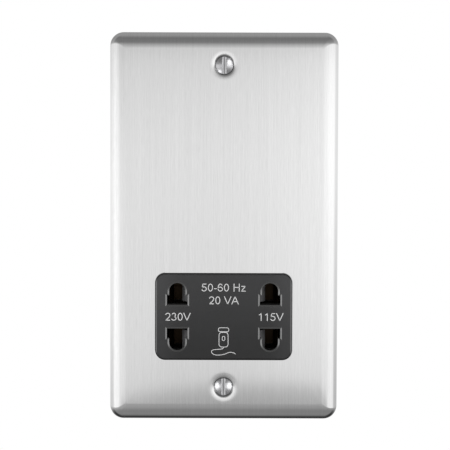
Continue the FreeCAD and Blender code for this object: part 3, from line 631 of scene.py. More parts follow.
def panel_plastic():
    """Dark satin panel with painted light: paler at its top and sides, with painted highlights on the bevels
    at the pin holes and on its left and right edges.
    """
    material, graph = new_finish("panel_plastic")
    at = graph.place()
    x, y, z = graph.axes(at)
    cloud = graph.noise(at, scale=0.3)
    texture = graph.noise(at, scale=7.0, detail=2.0, roughness=0.6)
    depth = y - PANEL_FRONT
    # Painted highlight: the bevels at the pin holes and the panel's left and right edges turn pale and
    # metallic.
    beside = (OUTLET_REACH_X - abs(abs(x) - OUTLET_X)) > 0.0
    within = (OUTLET_REACH_Z - abs(z - PANEL_Z)) > 0.0
    below = graph.smooth(depth, BEVEL_DEPTH - BEVEL_END, BEVEL_DEPTH)
    bevel = graph.smooth(depth, *BEVEL_START) * (1 - below)
    edge = graph.smooth(abs(x), PANEL_HALF_WIDTH - PANEL_EDGE, PANEL_HALF_WIDTH - PANEL_EDGE / 2)
    painted_highlight = bevel * beside * within + EDGE_HIGHLIGHT * edge
    # Painted light: the tone grows paler towards the panel's top and towards its sides.
    high = graph.smooth(z - PANEL_Z, -PANEL_HALF_HEIGHT, PANEL_HALF_HEIGHT)
    outer = graph.smooth(abs(x), PANEL_HALF_WIDTH * SIDE_LIGHT_START, PANEL_HALF_WIDTH)
    tone = cloud * PANEL_CLOUDS + high * PANEL_TOP_LIGHT + outer * PANEL_SIDE_LIGHT + PANEL_TONE
    plain = graph.blend(tone, BLACK, PANEL_TINT)
    close_finish(graph, {
        "Base Color": graph.blend(painted_highlight, plain, HIGHLIGHT_TONE),
        "Metallic": painted_highlight,
        "Roughness": texture * PANEL_SPREAD + PANEL_ROUGHNESS - painted_highlight * HIGHLIGHT_GLOSS,
        "Normal": graph.bump(texture, PANEL_GRAIN_DEPTH, PANEL_GRAIN_STRENGTH),
    })
    return material


# Windings: two tones of copper, its roughness and its turns
COPPER_DARK = (0.38, 0.13, 0.05)
COPPER_LIGHT = (0.55, 0.22, 0.09)
COPPER_ROUGHNESS = 0.22
COPPER_SPREAD = 0.15
WIRE_PITCH = 0.45
WIRE_DEPTH = 0.08


def wound_wire():
    """Enamelled copper in even turns, seen as ridges up the coil."""
    material, graph = new_finish("wound_wire")
    at = graph.place()
    ridge = graph.math("SINE", graph.axes(at)[2] * (FULL_TURN / WIRE_PITCH))
    cloud = graph.noise(at, scale=0.8)
    close_finish(graph, {
        "Base Color": graph.blend(cloud, COPPER_DARK, COPPER_LIGHT),
        "Metallic": 1.0,
        "Roughness": cloud * COPPER_SPREAD + COPPER_ROUGHNESS,
        "Coat Weight": 0.5,
        "Normal": graph.bump(ridge, WIRE_DEPTH),
    })
    return material


# Transformer core: two tones of varnish, its roughness and its sheets
VARNISH_DARK = (0.09, 0.09, 0.1)
VARNISH_LIGHT = (0.17, 0.17, 0.18)
VARNISH_ROUGHNESS = 0.35
VARNISH_SPREAD = 0.2
LAMINATION = 0.5
LAMINATION_DEPTH = 0.05


def laminations():
    """Varnished steel sheets, seen as fine lines along the stack."""
    material, graph = new_finish("laminations")
    at = graph.place()
    edge = graph.math("SINE", graph.axes(at)[1] * (FULL_TURN / LAMINATION))
    cloud = graph.noise(at, scale=0.5, detail=4.0)
    close_finish(graph, {
        "Base Color": graph.blend(cloud, VARNISH_DARK, VARNISH_LIGHT),
        "Metallic": 0.6,
        "Roughness": cloud * VARNISH_SPREAD + VARNISH_ROUGHNESS,
        "Normal": graph.bump(edge, LAMINATION_DEPTH),
    })
    return material


# Ink of the print, worn and fresh
INK_WORN = (0.38, 0.38, 0.38)
INK_FRESH = (0.48, 0.48, 0.48)
INK_ROUGHNESS = 0.45
INK_SPREAD = 0.1


def printed():
    """Pale ink with a slightly worn surface."""
    material, graph = new_finish("printed")
    wear = graph.noise(graph.place(), scale=3.0)
    close_finish(graph, {
        "Base Color": graph.blend(wear, INK_WORN, INK_FRESH),
        "Roughness": wear * INK_SPREAD + INK_ROUGHNESS,
    })
    return material


STEEL = brushed_steel()
CHROME = chrome()
PANEL = panel_plastic()
SLIDER = moulded("slider_moulding", (0.11, 0.11, 0.112), (0.14, 0.14, 0.142), roughness=0.45)
CARRIER = moulded("carrier_moulding", (0.008, 0.008, 0.008), (0.012, 0.012, 0.012), roughness=0.5)
HOUSING = moulded("housing_moulding", (0.026, 0.026, 0.028), (0.036, 0.036, 0.039),
                  roughness=0.5, grain=4.0, depth=0.02)
BOBBIN = moulded("bobbin_moulding", (0.56, 0.55, 0.51), (0.65, 0.64, 0.6), roughness=0.45)
ZINC = plain_metal("zinc_plate", (0.5, 0.5, 0.52), (0.68, 0.68, 0.69), roughness=0.32)
SPRING = plain_metal("spring_wire", (0.45, 0.45, 0.46), (0.6, 0.6, 0.61), roughness=0.28)
BRASS = plain_metal("machined_brass", (0.62, 0.43, 0.16), (0.75, 0.55, 0.24), roughness=0.3)
# Painted shade: the contacts' bronze is made nearly black, for the shade deep in the pin holes.
BRONZE = plain_metal("tarnished_bronze", (0.06, 0.042, 0.027), (0.09, 0.062, 0.04), roughness=0.55)
TINNED = plain_metal("tinned_brass", (0.6, 0.59, 0.56), (0.74, 0.73, 0.7), roughness=0.34)
CAN = plain_metal("drawn_can", (0.6, 0.6, 0.6), (0.74, 0.74, 0.74), roughness=0.3)
WIRE = wound_wire()
CORE = laminations()
INK = printed()
SLEEVE_TONES = {
    "black": ((0.016, 0.016, 0.016), (0.024, 0.024, 0.024)),
    "red": ((0.4, 0.025, 0.025), (0.48, 0.035, 0.035)),
    "yellow": ((0.6, 0.46, 0.035), (0.68, 0.53, 0.045)),
    "blue": ((0.025, 0.09, 0.36), (0.035, 0.11, 0.43)),
    "brown": ((0.14, 0.06, 0.025), (0.18, 0.08, 0.035)),
}
SLEEVES = {colour: moulded(colour + "_sleeve", dark, light, roughness=0.4)
           for colour, (dark, light) in SLEEVE_TONES.items()}
LEAD_COLOURS = {
    "common_lead": "black",
    "common_link_lead": "black",
    "high_voltage_lead": "red",
    "low_voltage_lead": "yellow",
    "neutral_lead": "blue",
    "live_lead": "brown",
}


def flat_with_holes(outer, holes):
    """Triangles of a plane between an outer loop and the loops of its holes."""
    loops = [outer] + holes
    points = np.concatenate(loops)
    edges = []
    first = 0
    for loop in loops:
        count = len(loop)
        edges += [(first + i, first + (i + 1) % count) for i in range(count)]
        first += count
    made = delaunay_2d_cdt([Vector(p) for p in points], edges, [], INSIDE_ONLY, MEETING_DISTANCE)
    flat = np.array([tuple(p) for p in made[0]])
    triangles = np.array(made[2])
    middles = flat[triangles].mean(axis=1)
    keep = np.ones(len(triangles), dtype=bool)
    for hole in holes:
        keep &= ~inside(middles, hole)
    return flat, triangles[keep].tolist()


def inside(points, loop):
    """Which points lie inside a convex loop that runs anticlockwise."""
    along = np.roll(loop, -1, axis=0) - loop
    to_point = points[:, None] - loop[None]
    cross = along[None, :, 0] * to_point[..., 1] - along[None, :, 1] * to_point[..., 0]
    return (cross >= 0).all(axis=1)


def seat_profile():
    """A screw seat: a soft shallow dish, a step round the head, a cone to the hole, and a boss behind."""
    rim_y = PLATE_FRONT + SEAT_STEP
    hole_y = rim_y + HEAD_RADIUS - SEAT_HOLE
    half = SHEET / 2
    slope = np.array([SEAT_SLOPE, PLATE_FRONT])
    brink = np.array([SEAT_STEP_RADIUS, PLATE_FRONT + SEAT_DISH])
    foot = np.array([HEAD_RADIUS, rim_y])
    hole = np.array([SEAT_HOLE, hole_y])
    dish = towards(slope, brink)
    step = towards(brink, foot)
    cone = towards(foot, hole)
    return profile(
        (SEAT_FLAT, PLATE_FRONT),
        bend((SEAT_SHORE, PLATE_FRONT), slope, brink - dish * STEP_SOFTNESS, DISH_POINTS),
        bend(brink - dish * STEP_SOFTNESS, brink, brink + step * STEP_SOFTNESS, BRINK_POINTS)[1:],
        bend(foot - step * STEP_SOFTNESS, foot, foot + cone * STEP_SOFTNESS, FOOT_POINTS),
        hole,
        hole + (0, SHEET),
        hole + (half, SHEET),
        foot + (half, SHEET),
        brink + (half, SHEET),
        (SEAT_DISH_RADIUS + half, PLATE_BACK),
        (SEAT_FLAT, PLATE_BACK),
    )


def make_plate():
    """Pressed plate: its border, screw seats and window edge are carried profiles between two flats."""
    low = PLATE_CORNER - EDGE_ROLL
    bend_y = PLATE_FRONT + EDGE_ROLL
    outer_wall = PLATE_CORNER
    inner_wall = PLATE_CORNER - SHEET
    edge = SHEARED_EDGE
    roll = arc((low, bend_y), EDGE_ROLL, BOW_ANGLE - 90, 0, ROLL_POINTS)
    bow_end = roll[0]
    bow_corner = bow_end - (bow_end[1] - PLATE_FRONT) * np.array([1 / math.tan(math.radians(BOW_ANGLE)), 1])
    border_profile = profile(
        bend((-EDGE_BOW, PLATE_FRONT), bow_corner, bow_end, BOW_POINTS),
        roll[1:],
        arc((outer_wall - edge, -edge), edge, 0, 90, EDGE_POINTS),
        arc((inner_wall + edge, -edge), edge, 90, 180, EDGE_POINTS),
        arc((low, bend_y), EDGE_ROLL - SHEET, 0, -90, ROLL_POINTS),
        (-EDGE_BOW, PLATE_BACK),
    )
    offsets = border_profile[:, 0]
    outward = (offsets + EDGE_BOW) / (PLATE_CORNER + EDGE_BOW)
    corner_radii = FLAT_CORNER * (1 - outward) ** 2 + PLATE_CORNER * outward ** CORNER_POWER
    plate_outline = rounded_loop(PLATE_HIGH[0], PLATE_HIGH[2], 0, PLATE_CORNER)
    border = carried(border_profile, plate_outline, corner_radii - offsets)
    window_corner = PANEL_CORNER + PANEL_GAP
    window_half = (PANEL_HALF_WIDTH + PANEL_GAP, PANEL_HALF_HEIGHT + PANEL_GAP)
    lip = WINDOW_LIP
    window_profile = profile(
        (window_corner + WINDOW_FLAT, PLATE_FRONT),
        arc((window_corner + lip, PLATE_FRONT + lip), lip, -90, -180, WINDOW_FRONT_POINTS),
        arc((window_corner + lip, PLATE_BACK - lip), lip, 180, 90, WINDOW_BACK_POINTS),
        (window_corner + WINDOW_FLAT, PLATE_BACK),
    )
    window = carried(window_profile, rounded_loop(*window_half, PANEL_Z, window_corner))
    seats = [carried(seat_profile(), round_loop(0, z, even_angles(RING_POINTS))) for z in (-SCREW_Z, SCREW_Z)]
    holes = [ring[0][:, [0, 2]] for ring in seats + [window]]
    flat, triangles = flat_with_holes(border[0][:, [0, 2]], holes)
    surfaces = [sheet_of(grid) for grid in [border, window] + seats]
    for y in (PLATE_FRONT, PLATE_BACK):
        surfaces.append((np.insert(flat, 1, y, axis=1), triangles))
    plate = add_piece("steel_plate", surfaces, STEEL)
    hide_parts("front_plate")


def slotted_dome():
    """Height over the head's rim: a ball's cap, and along the slot a narrow cut between two flat lands."""
    cut = SLOT_WIDTH / 2
    land = cut + SLOT_LAND
    ball = (HEAD_RADIUS ** 2 + HEAD_RISE ** 2) / (2 * HEAD_RISE)
    lip = SLOT_LIP * (1 - np.cos(np.linspace(0, QUARTER_TURN, LIP_POINTS)))
    side = np.concatenate([land + lip, np.linspace(land + SLOT_LIP, HEAD_RADIUS, DOME_COLUMNS)[1:]])
    slot = np.array([land, cut, cut])
    slot_ceiling = [LAND_HEIGHT, LAND_HEIGHT, 0]
    x = np.concatenate([-side[::-1], -slot, slot[::-1], side])
    upward = np.sin(np.linspace(-QUARTER_TURN, QUARTER_TURN, DOME_ROWS))
    z = upward[:, None] * np.sqrt(np.maximum(HEAD_RADIUS ** 2 - x ** 2, 0))
    cap = np.maximum(np.sqrt(ball ** 2 - x ** 2 - z ** 2) - (ball - HEAD_RISE), 0)
    inward = np.clip(1 - (np.abs(x) - land) / SLOT_LIP, 0, 1)
    drop = SLOT_LIP * (1 - np.sqrt(1 - inward ** 2))
    ceiling = np.full(len(x), HEAD_RISE)
    slotted = slice(len(side), len(side) + 2 * len(slot))
    ceiling[slotted] = slot_ceiling + slot_ceiling[::-1]
    drop[slotted] = 0
    height = np.minimum(np.maximum(cap - drop, 0), ceiling)
    return np.broadcast_to(x, z.shape), z, height


def make_screw(name, middle):
    """A raised countersunk screw: a slotted dome, a cone, a neck and a threaded shank with a pointed end."""
    x, z, height = slotted_dome()
    rim = SCREWS_LOW[1] + HEAD_RISE
    tip = SCREWS_HIGH[1]
    thread_end = tip - SCREW_POINT
    thread_start = rim + HEAD_RADIUS - NECK_RADIUS + NECK_LENGTH
    loop = np.concatenate([np.stack([x[0], z[0]], axis=1), np.stack([x[-1], z[-1]], axis=1)[::-1]])
    angles = np.arctan2(loop[:, 1], loop[:, 0])
    around = round_loop(0, middle, angles)
    neck = profile((HEAD_RADIUS, rim), (NECK_RADIUS, rim + HEAD_RADIUS - NECK_RADIUS),
                   (NECK_RADIUS, thread_start - THREAD_DEPTH), (THREAD_RADIUS, thread_start))
    end = profile((THREAD_RADIUS, thread_end), (THREAD_RADIUS - SCREW_POINT, tip), (0.0, tip))
    thread = threaded(0, middle, angles, thread_start, thread_end, THREAD_RADIUS, THREAD_DEPTH, THREAD_PITCH)
    screw = add_piece(name, [
        sheet_of(np.stack([x, rim - height, z + middle], axis=-1), closed=False),
        sheet_of(carried(neck, around)),
        sheet_of(thread),
        sheet_of(carried(end, around)),
    ], CHROME, flats=False)
    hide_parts("fixing_screws")
    return screw


def make_spring(side):
    """A round wire carried along a helix whose pitch closes up at both ends."""
    hand = "left" if side < 0 else "right"
    node = hand + "_centring_spring"
    low, high = node_box(node)
    wire = SPRING_WIRE / 2
    inner = min(abs(low[0]), abs(high[0])) + wire
    outer = max(abs(low[0]), abs(high[0])) - wire
    turns = SPRING_TURNS + SPRING_END_TURNS
    t = np.linspace(0, 1, turns * SPRING_TURN_POINTS)
    closed = SPRING_WIRE * CLOSED_PITCH / (outer - inner)
    ends = np.clip(t * turns, 0, 1) * closed + np.clip(t * turns - (turns - 1), 0, 1) * closed
    middle = np.clip((t * turns - 1) / SPRING_TURNS, 0, 1) * (1 - 2 * closed)
    x = side * (inner + (outer - inner) * (ends + middle))
    turn = t * turns * FULL_TURN
    radial = np.stack([np.zeros_like(t), np.cos(turn), np.sin(turn)], axis=1)
    centre_line = np.stack([x, np.full_like(t, SPRING_Y), np.full_like(t, PANEL_Z)], axis=1)
    path = radial * SPRING_RADIUS + centre_line
    along = np.gradient(path, axis=0)
    along /= np.linalg.norm(along, axis=1, keepdims=True)
    binormal = np.cross(along, radial)
    section = even_angles(WIRE_POINTS)[None, :, None]
    tube = path[:, None] + wire * (np.cos(section) * radial[:, None] + np.sin(section) * binormal[:, None])
    surfaces = [sheet_of(tube), cap_of(tube[0]), cap_of(tube[-1])]
    spring = add_piece(hand + "_spring_coil", surfaces, SPRING, body=None, flats=False)
    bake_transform(spring)
    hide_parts(node)


def stud_places():
    """X and Z of the four studs, from the box of their node."""
    low, high = node_box("weld_studs")
    return [(x, z) for x in (low[0] + STUD_RADIUS, high[0] - STUD_RADIUS)
            for z in (low[2] + STUD_RADIUS, high[2] - STUD_RADIUS)]


def make_studs():
    """Threaded studs with a plain root and a small end chamfer."""
    low, high = node_box("weld_studs")
    angles = even_angles(STUD_POINTS)
    thread_start = low[1] + STUD_ROOT
    thread_end = high[1] - STUD_CHAMFER
    root = profile((0.0, low[1]), (STUD_RADIUS, low[1]), (STUD_RADIUS, thread_start))
    end = profile((STUD_RADIUS, thread_end), (STUD_RADIUS - STUD_CHAMFER, high[1]), (0.0, high[1]))
    surfaces = []
    for x, z in stud_places():
        around = round_loop(x, z, angles)
        thread = threaded(x, z, angles, thread_start, thread_end, STUD_RADIUS, STUD_THREAD_DEPTH, STUD_PITCH)
        surfaces += [sheet_of(carried(root, around)), sheet_of(carried(end, around)), sheet_of(thread)]
    studs = add_piece("threaded_studs", surfaces, ZINC, flats=False)
    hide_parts("weld_studs")


def make_nuts():
    """Hexagon nuts: the flats' distance over the cosine round each sixth, cut by a cone at both faces."""
    low, high = node_box("stud_nuts")
    angles = even_angles(NUT_POINTS)
    from_flat = (angles + SIXTH_TURN / 2) % SIXTH_TURN - SIXTH_TURN / 2
    across = NUT_FLATS / 2 / np.cos(from_flat)
    face = np.minimum(across, NUT_CHAMFER_RADIUS)
    bore = np.full_like(across, NUT_BORE)
    cut = (across - face) * math.tan(math.radians(NUT_CHAMFER_ANGLE))
    surfaces = []
    for x, z in stud_places():
        on_strap = x < 0 and z < 0
        y0 = high[1] - NUT_THICKNESS if on_strap else low[1]
        y1 = y0 + NUT_THICKNESS
        front = [(bore, y0), (face, y0), (across, y0 + cut)]
        back = [(across, y1 - cut), (face, y1), (bore, y1)]
        rows = front + back + front[:1]
        surfaces.append(sheet_of(np.stack([turned(x, z, angles, radii, y) for radii, y in rows])))
    nuts = add_piece("hexagon_nuts", surfaces, ZINC)
    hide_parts("stud_nuts")


def ribbon(path, closed=False, stroke=PRINT_STROKE):
    """A flat printed stroke: the path moved half a stroke to each side along its normal, with a thin edge."""
    path = np.array(path, dtype=float)
    if closed:
        along = np.roll(path, -1, axis=0) - np.roll(path, 1, axis=0)
    else:
        along = np.gradient(path, axis=0)
    along /= np.linalg.norm(along, axis=1, keepdims=True)
    normal = np.stack([-along[:, 1], along[:, 0]], axis=1)
    half = stroke / 2
    section = [(half, -PRINT_LIFT), (-half, -PRINT_LIFT), (-half, PRINT_LIFT), (half, PRINT_LIFT)]
    edges = [np.insert(path + offset * normal, 1, PANEL_FRONT + y, axis=1) for offset, y in section]
    rows = np.stack(edges, axis=1)
    if closed:
        rows = np.concatenate([rows, rows[:1]])
        return [sheet_of(rows)]
    return [sheet_of(rows), cap_of(rows[0]), cap_of(rows[-1])]


def loop_path(half_x, half_z, x, z, corner):
    """A closed path round a rectangle with round corners."""
    centres, directions = rounded_loop(half_x, half_z, 0, corner)
    return centres + corner * directions + (x, z)


def figures():
    """Each figure's width and its strokes' centre lines, for figures of height 1."""
    digit = 0.777
    capital = 0.93
    base = 0.0625
    whole = (0, 360, 48)
    return {
        " ": (0.39, []),
        "-": (0.47, [[(0.06, 0.36), (0.41, 0.36)]]),
        "0": (digit, [oval(0.385, 0.5, 0.262, 0.44, *whole)]),
        "1": (digit, [[(0.445, 1.0), (0.445, 0.0)], curve((0.175, 0.74), (0.36, 0.8), (0.43, 0.985))]),
        "2": (digit, [np.concatenate([oval(0.375, 0.685, 0.265, 0.252, 172, 0),
                                      curve((0.64, 0.685), (0.64, 0.47), (0.11, base))[1:]]),
                      [(0.075, base), (0.665, base)]]),
        "3": (digit, [oval(0.355, 0.73, 0.225, 0.208, 165, -90), oval(0.355, 0.292, 0.275, 0.23, 90, -168)]),
        "5": (digit, [[(0.2, 1 - base), (0.645, 1 - base)], [(0.225, 0.97), (0.135, 0.47)],
                      oval(0.36, 0.325, 0.285, 0.263, 148, -165)]),
        "6": (digit, [oval(0.385, 0.31, 0.27, 0.248, *whole),
                      np.concatenate([[(0.115, 0.31)], oval(0.4, 0.5, 0.285, 0.44, 180, 38)])]),
        "A": (capital, [[(0.035, 0.0), (0.465, 0.97)], [(0.465, 0.97), (0.895, 0.0)],
                        [(0.19, 0.345), (0.74, 0.345)]]),
        "H": (1.01, [[(0.175, 0.0), (0.175, 1.0)], [(0.835, 0.0), (0.835, 1.0)],
                     [(0.175, 0.53), (0.835, 0.53)]]),
        "V": (capital, [[(0.035, 1.0), (0.465, 0.03)], [(0.465, 0.03), (0.895, 1.0)]]),
        "z": (0.7, [[(0.07, 0.665), (0.6, 0.665)], [(0.585, 0.665), (0.085, base)],
                    [(0.05, base), (0.635, base)]]),
    }


FIGURES = figures()


def make_line(name, text, x, z):
    """One line of printed figures, centred on a place."""
    start = -sum(FIGURES[figure][0] for figure in text) / 2
    surfaces = []
    for figure in text:
        width, strokes = FIGURES[figure]
        for stroke in strokes:
            surfaces += ribbon((np.array(stroke) + (start, -FIGURE_MIDDLE)) * FIGURE_HEIGHT + (x, z))
        start += width
    add_piece(name, surfaces, INK)


def make_pictogram():
    """A plain outline of an electric shaver with a waved cord, in the middle of the panel's lower half."""
    top = PANEL_Z - PICTOGRAM_DROP
    bends = [curve(*corners) for corners in CORD_BENDS]
    cord = np.concatenate(bends[:1] + [points[1:] for points in bends[1:]])
    surfaces = ribbon(cord + (0, top - CORD_DROP), stroke=PICTOGRAM_STROKE)
    for half_x, half_z, drop, corner in (SHAVER_HEAD, SHAVER_GRIP, SHAVER_SWITCH):
        outline = loop_path(half_x, half_z, 0, top - drop, corner)
        surfaces += ribbon(outline, True, PICTOGRAM_STROKE)
    add_piece("panel_pictogram", surfaces, INK)


def make_print():
    """Plain print: the two voltages, the supply's frequency, the rating and a pictogram."""
    make_line("figures_230", "230V", PRINT_SHIFT - OUTLET_X, PANEL_Z)
    make_line("figures_115", "115V", PRINT_SHIFT + OUTLET_X, PANEL_Z)
    make_line("figures_supply", "50-60 Hz", 0, PANEL_Z + SUPPLY_RISE)
    make_line("figures_rating", "20 VA", 0, PANEL_Z + RATING_RISE)
    make_pictogram()


def dress_nodes():
    """Finishes for the nodes whose CAD shape is kept."""
    finishes = {
        "socket_insert": (PANEL, "insert_plastic"),
        "contact_carrier": (CARRIER, "carrier_plastic"),
        "rear_housing": (HOUSING, "housing_plastic"),
        "transformer_core": (CORE, "core_steel"),
        "bobbin": (BOBBIN, "bobbin_plastic"),
        "primary_winding": (WIRE, "copper_wire"),
        "secondary_winding": (WIRE, "copper_wire"),
        "bobbin_pins": (TINNED, "tinned_brass"),
        "thermal_cutout": (CAN, "cutout_can"),
        "terminal_screws": (ZINC, "zinc_steel"),
        "earth_strap": (TINNED, "tinned_brass"),
    }
    for node in ("earth_terminal", "neutral_terminal", "live_terminal"):
        finishes[node] = (BRASS, "terminal_brass")
    for node in ("contact_230v_upper", "contact_230v_lower", "contact_115v_upper", "contact_115v_lower"):
        finishes[node] = (BRONZE, "contact_bronze")
    for node, colour in LEAD_COLOURS.items():
        finishes[node] = (SLEEVES[colour], colour + "_lead")
    for node, (material, slot) in finishes.items():
        dress_node(node, material)
    dress_node("interlock_slider", SLIDER, "slider")


# Camera: the place of the photograph's eye in front of the plate, a little above its middle
EYE_DISTANCE = 480.0
EYE_RISE = 17.3
AIM_X = 0.41
AIM_Z = 0.655
VIEW_ANGLE = 19.903
SENSOR = 36.0
ROLL = 0.18


def make_camera():
    """A camera at the photograph's place, aimed at the point of the plate in the middle of the picture."""
    data = bpy.data.cameras.new("camera")
    data.sensor_width = SENSOR
    data.lens = SENSOR / 2 / math.tan(math.radians(VIEW_ANGLE / 2))
    camera = bpy.data.objects.new("camera", data)
    bpy.context.scene.collection.objects.link(camera)
    eye = Vector((AIM_X, PLATE_FRONT - EYE_DISTANCE, EYE_RISE)) * MM
    aim = Vector((AIM_X, PLATE_FRONT, AIM_Z)) * MM
    turn = (aim - eye).to_track_quat("-Z", "Y").to_matrix().to_4x4()
    camera.matrix_world = Matrix.Translation(eye) @ turn @ Matrix.Rotation(math.radians(ROLL), 4, "Z")
    bpy.context.scene.camera = camera


# Tones of the studio that the metal mirrors, by the angle above the horizon in degrees
TONES_NEAR = [
    (-15, 0.4), (-12.4, 0.42), (-10.8, 0.435), (-9.9, 0.445), (-9.85, 0.465), (-9.7, 0.505), (-9.5, 0.54),
    (-9.38, 0.555), (-9.25, 0.585), (-9.12, 0.64), (-9.03, 0.72), (-8.94, 0.82), (-8.8, 0.88), (-8.64, 0.895),
    (-8.3, 0.883), (-6.3, 0.932), (-3.6, 0.98), (-0.9, 1.01), (0.9, 1.015), (2.7, 0.99), (4.5, 0.94),
    (4.9, 0.925), (5.25, 0.91), (5.5, 0.88), (5.75, 0.83), (6.7, 0.74), (8.3, 0.63), (10.2, 0.55),
    (12.6, 0.47), (15, 0.375),
]
TONES_IN_FRONT = [
    (-90, 0.27), (-78, 0.277), (-67, 0.286), (-57, 0.276), (-33, 0.286), (-25, 0.31), (-20, 0.355),
    (-15, 0.4), (15, 0.375), (20.5, 0.26), (28, 0.24), (41, 0.234), (52, 0.224), (62, 0.212), (73, 0.254),
    (84, 0.318), (90, 0.35),
]
TONES_BEHIND = [
    (-90, 0.25), (-83, 0.17), (-72, 0.07), (-62, 0.045), (-45, 0.045), (-30, 0.15), (-15, 0.45), (-9.4, 0.65),
    (-8, 0.72), (-5, 0.84), (0, 0.95), (3.6, 0.9), (5.3, 0.84), (9, 0.62), (14, 0.42), (30, 0.36), (48, 0.38),
    (68, 0.39), (83, 0.386), (90, 0.35),
]
NEAR = 15
# How much brighter the studio is to the sides, by the angle from the front to the right
GAIN_ROUND = [
    (-180, 1.0), (-135, 1.15), (-115, 1.26), (-95, 1.3), (-73, 1.34), (-52, 1.27), (-43, 1.22), (-34, 1.16),
    (-24, 1.08), (-4, 1.0), (0, 1.0), (1.6, 1.04), (3.4, 1.1), (4.2, 1.13), (10, 1.25), (37, 1.35),
    (57, 1.38), (89, 1.35), (102, 1.15), (117, 1.07), (135, 1.05), (180, 1.0),
]
TOP_TONE = 1.4
SKY = 0.8
# The left side grows brighter downwards and the right side upwards, by this much for each degree
LEFT_LEAN = 0.016
RIGHT_LEAN = 0.008
LEAN_LOW = -9.0
LEAN_HIGH = 10.0
# The dark lower part of the studio ends in an arch: it drops with the square of the distance to the side
ARCH = 55.0
ARCH_MIDDLE = 0.03
ARCH_LEFT = 0.75
ARCH_RIGHT = 0.4
ARCH_SIDES = 2.0
# Where the studio's changes start and end: as parts of a direction, or downwards in degrees
ARCH_CHANGE = (0.0, 0.1)
ARCH_OUTWARD = (0.15, 0.9)
ARCH_DOWNWARD = (3.0, 8.0)
BACKWARD = (-0.2, 0.2)
LEFTWARD = (0.03, 0.15)
FAR_LEFT = (0.6, 0.9)
FAR_LEFT_LOSS = 0.5
RIGHTWARD = (0.05, 0.3)
LOW_DOWNWARD = (9.5, 14.0)
PAST_MIDDLE = (-0.02, 0.02)
STEEP = (0.3, 0.8)


def make_world():
    """White for the camera, an even sky for matt surfaces, and for mirrored rays the tones of the studio."""
    world = bpy.data.worlds.new("studio")
    bpy.context.scene.world = world
    world.use_nodes = True
    graph = Graph(world.node_tree)
    x, y, z = graph.axes(graph.node("ShaderNodeTexCoord").part("Generated"))

    def tones(table, angle):
        reach = table[-1][0]
        stops = [((at + reach) / (2 * reach), tone / TOP_TONE) for at, tone in table]
        place = (angle + reach) / (2 * reach)
        return graph.node("ShaderNodeValToRGB", {"stops": stops}, {0: place}) * TOP_TONE

    rise = graph.math("ARCSINE", z) * TO_DEGREES
    turn = graph.math("ARCTAN2", x, 0 - y) * TO_DEGREES
    aside = x - ARCH_MIDDLE
    most = ARCH_LEFT + graph.smooth(x, *ARCH_CHANGE) * (ARCH_RIGHT - ARCH_LEFT)
    outward = graph.smooth(abs(x), *ARCH_OUTWARD)
    arch = graph.math("MINIMUM", aside * aside * ARCH, most) + outward * ARCH_SIDES
    seen = rise + arch * graph.smooth(0 - rise, *ARCH_DOWNWARD)
    near = (NEAR - abs(seen)) > 0.0
    front = tones(TONES_NEAR, seen) * near + tones(TONES_IN_FRONT, seen) * (1 - near)
    back = graph.smooth(y, *BACKWARD)
    upright = front * (1 - back) + tones(TONES_BEHIND, rise) * back
    low_rise = graph.math("MAXIMUM", graph.math("MINIMUM", rise, LEAN_HIGH), LEAN_LOW)
    left = graph.smooth(0 - x, *LEFTWARD) - graph.smooth(0 - x, *FAR_LEFT) * FAR_LEFT_LOSS
    lean = graph.smooth(x, *RIGHTWARD) * RIGHT_LEAN - left * LEFT_LEAN
    lower_right = graph.smooth(0 - rise, *LOW_DOWNWARD) * graph.smooth(x, *PAST_MIDDLE)
    level = (1 - graph.smooth(abs(z), *STEEP)) * (1 - lower_right)
    sides = 1 + (tones(GAIN_ROUND, turn) * (1 + low_rise * lean) - 1) * level
    path = graph.node("ShaderNodeLightPath")
    mirror = graph.math("MAXIMUM", path.part("Is Glossy Ray"), path.part("Is Transmission Ray"))
    strength = path + (1 - path) * (mirror * upright * sides + (1 - mirror) * SKY)
    background = graph.node("ShaderNodeBackground", None, {"Color": grey(1.0), "Strength": strength})
    graph.node("ShaderNodeOutputWorld", None, {"Surface": background})


def add_lamp(name, place, width, height, power):
    """A rectangular lamp turned towards the object."""
    data = bpy.data.lights.new(name, "AREA")
    data.shape = "RECTANGLE"
    data.size = width
    data.size_y = height
    data.energy = power
    lamp = bpy.data.objects.new(name, data)
    lamp.location = place
    lamp.rotation_euler = (-Vector(place)).to_track_quat("-Z", "Y").to_euler()
    bpy.context.scene.collection.objects.link(lamp)
    return lamp


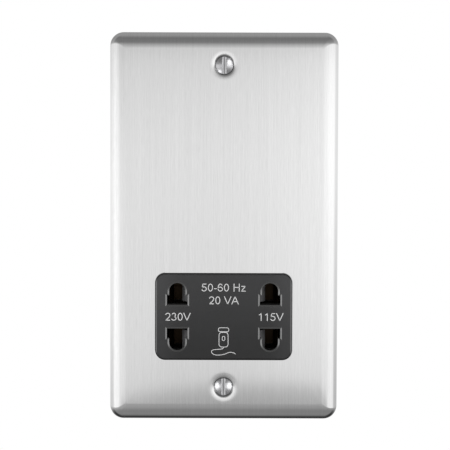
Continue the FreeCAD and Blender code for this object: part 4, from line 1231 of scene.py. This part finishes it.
# Lamps for matt surfaces: the place of each in metres and its watts
LAMP_SIZE = 0.7
LAMPS = {
    "left_lamp": ((-0.9, -0.9, 0.35), 6.0),
    "right_lamp": ((0.9, -0.9, 0.35), 6.0),
    "upper_lamp": ((0.0, -0.5, 1.1), 7.0),
}


def make_lamps():
    """Soft lamps that light matt surfaces from both sides and from above."""
    for name, (place, power) in LAMPS.items():
        add_lamp(name, place, LAMP_SIZE, LAMP_SIZE, power).visible_glossy = False


# Soft boxes that the screws mirror: place, width and height in metres, and watts for each square metre
UPPER_BOXES = [((0.38, -0.41, 0.33), 0.3, 0.36), ((-0.31, -0.3, -0.33), 0.26, 0.26)]
LOWER_BOXES = [((-0.47, -0.38, -0.06), 0.22, 0.42), ((0.45, -0.4, -0.06), 0.26, 0.42)]
SOFT_BOX_GLOW = 9.0


def make_screw_lamps(screw, boxes):
    """Soft boxes that only this screw mirrors: where each one stands, its width and its height in metres."""
    seen_by = bpy.data.collections.new(screw.name + "_alone")
    seen_by.objects.link(screw)
    for number, (place, width, height) in enumerate(boxes):
        power = SOFT_BOX_GLOW * width * height
        lamp = add_lamp(f"{screw.name}_soft_box_{number}", place, width, height, power)
        lamp.light_linking.receiver_collection = seen_by
        lamp.visible_camera = False
        lamp.visible_diffuse = False


# Floor, in metres
FLOOR_DROP = 0.3
FLOOR_HALF = 0.8
FLOOR_TONE = 0.85
FLOOR_ROUGHNESS = 0.9


def make_floor():
    """A pale floor below the picture."""
    material, graph = new_finish("pale_floor")
    close_finish(graph, {"Base Color": grey(FLOOR_TONE), "Roughness": FLOOR_ROUGHNESS})
    span = np.linspace(-FLOOR_HALF, FLOOR_HALF, 2) / MM
    x, y = np.meshgrid(span, span)
    points = np.stack([x, y, np.full_like(x, -FLOOR_DROP / MM)], axis=-1)
    floor = add_piece("floor", [sheet_of(points, closed=False)], material, body=None)
    floor.visible_glossy = False


make_camera()
make_world()
make_lamps()
make_floor()
make_plate()
make_screw_lamps(make_screw("upper_screw", SCREW_Z), UPPER_BOXES)
make_screw_lamps(make_screw("lower_screw", -SCREW_Z), LOWER_BOXES)
make_print()
make_studs()
make_nuts()
for side in (-1, 1):
    make_spring(side)
dress_nodes()

bpy.context.scene.view_settings.view_transform = "Standard"
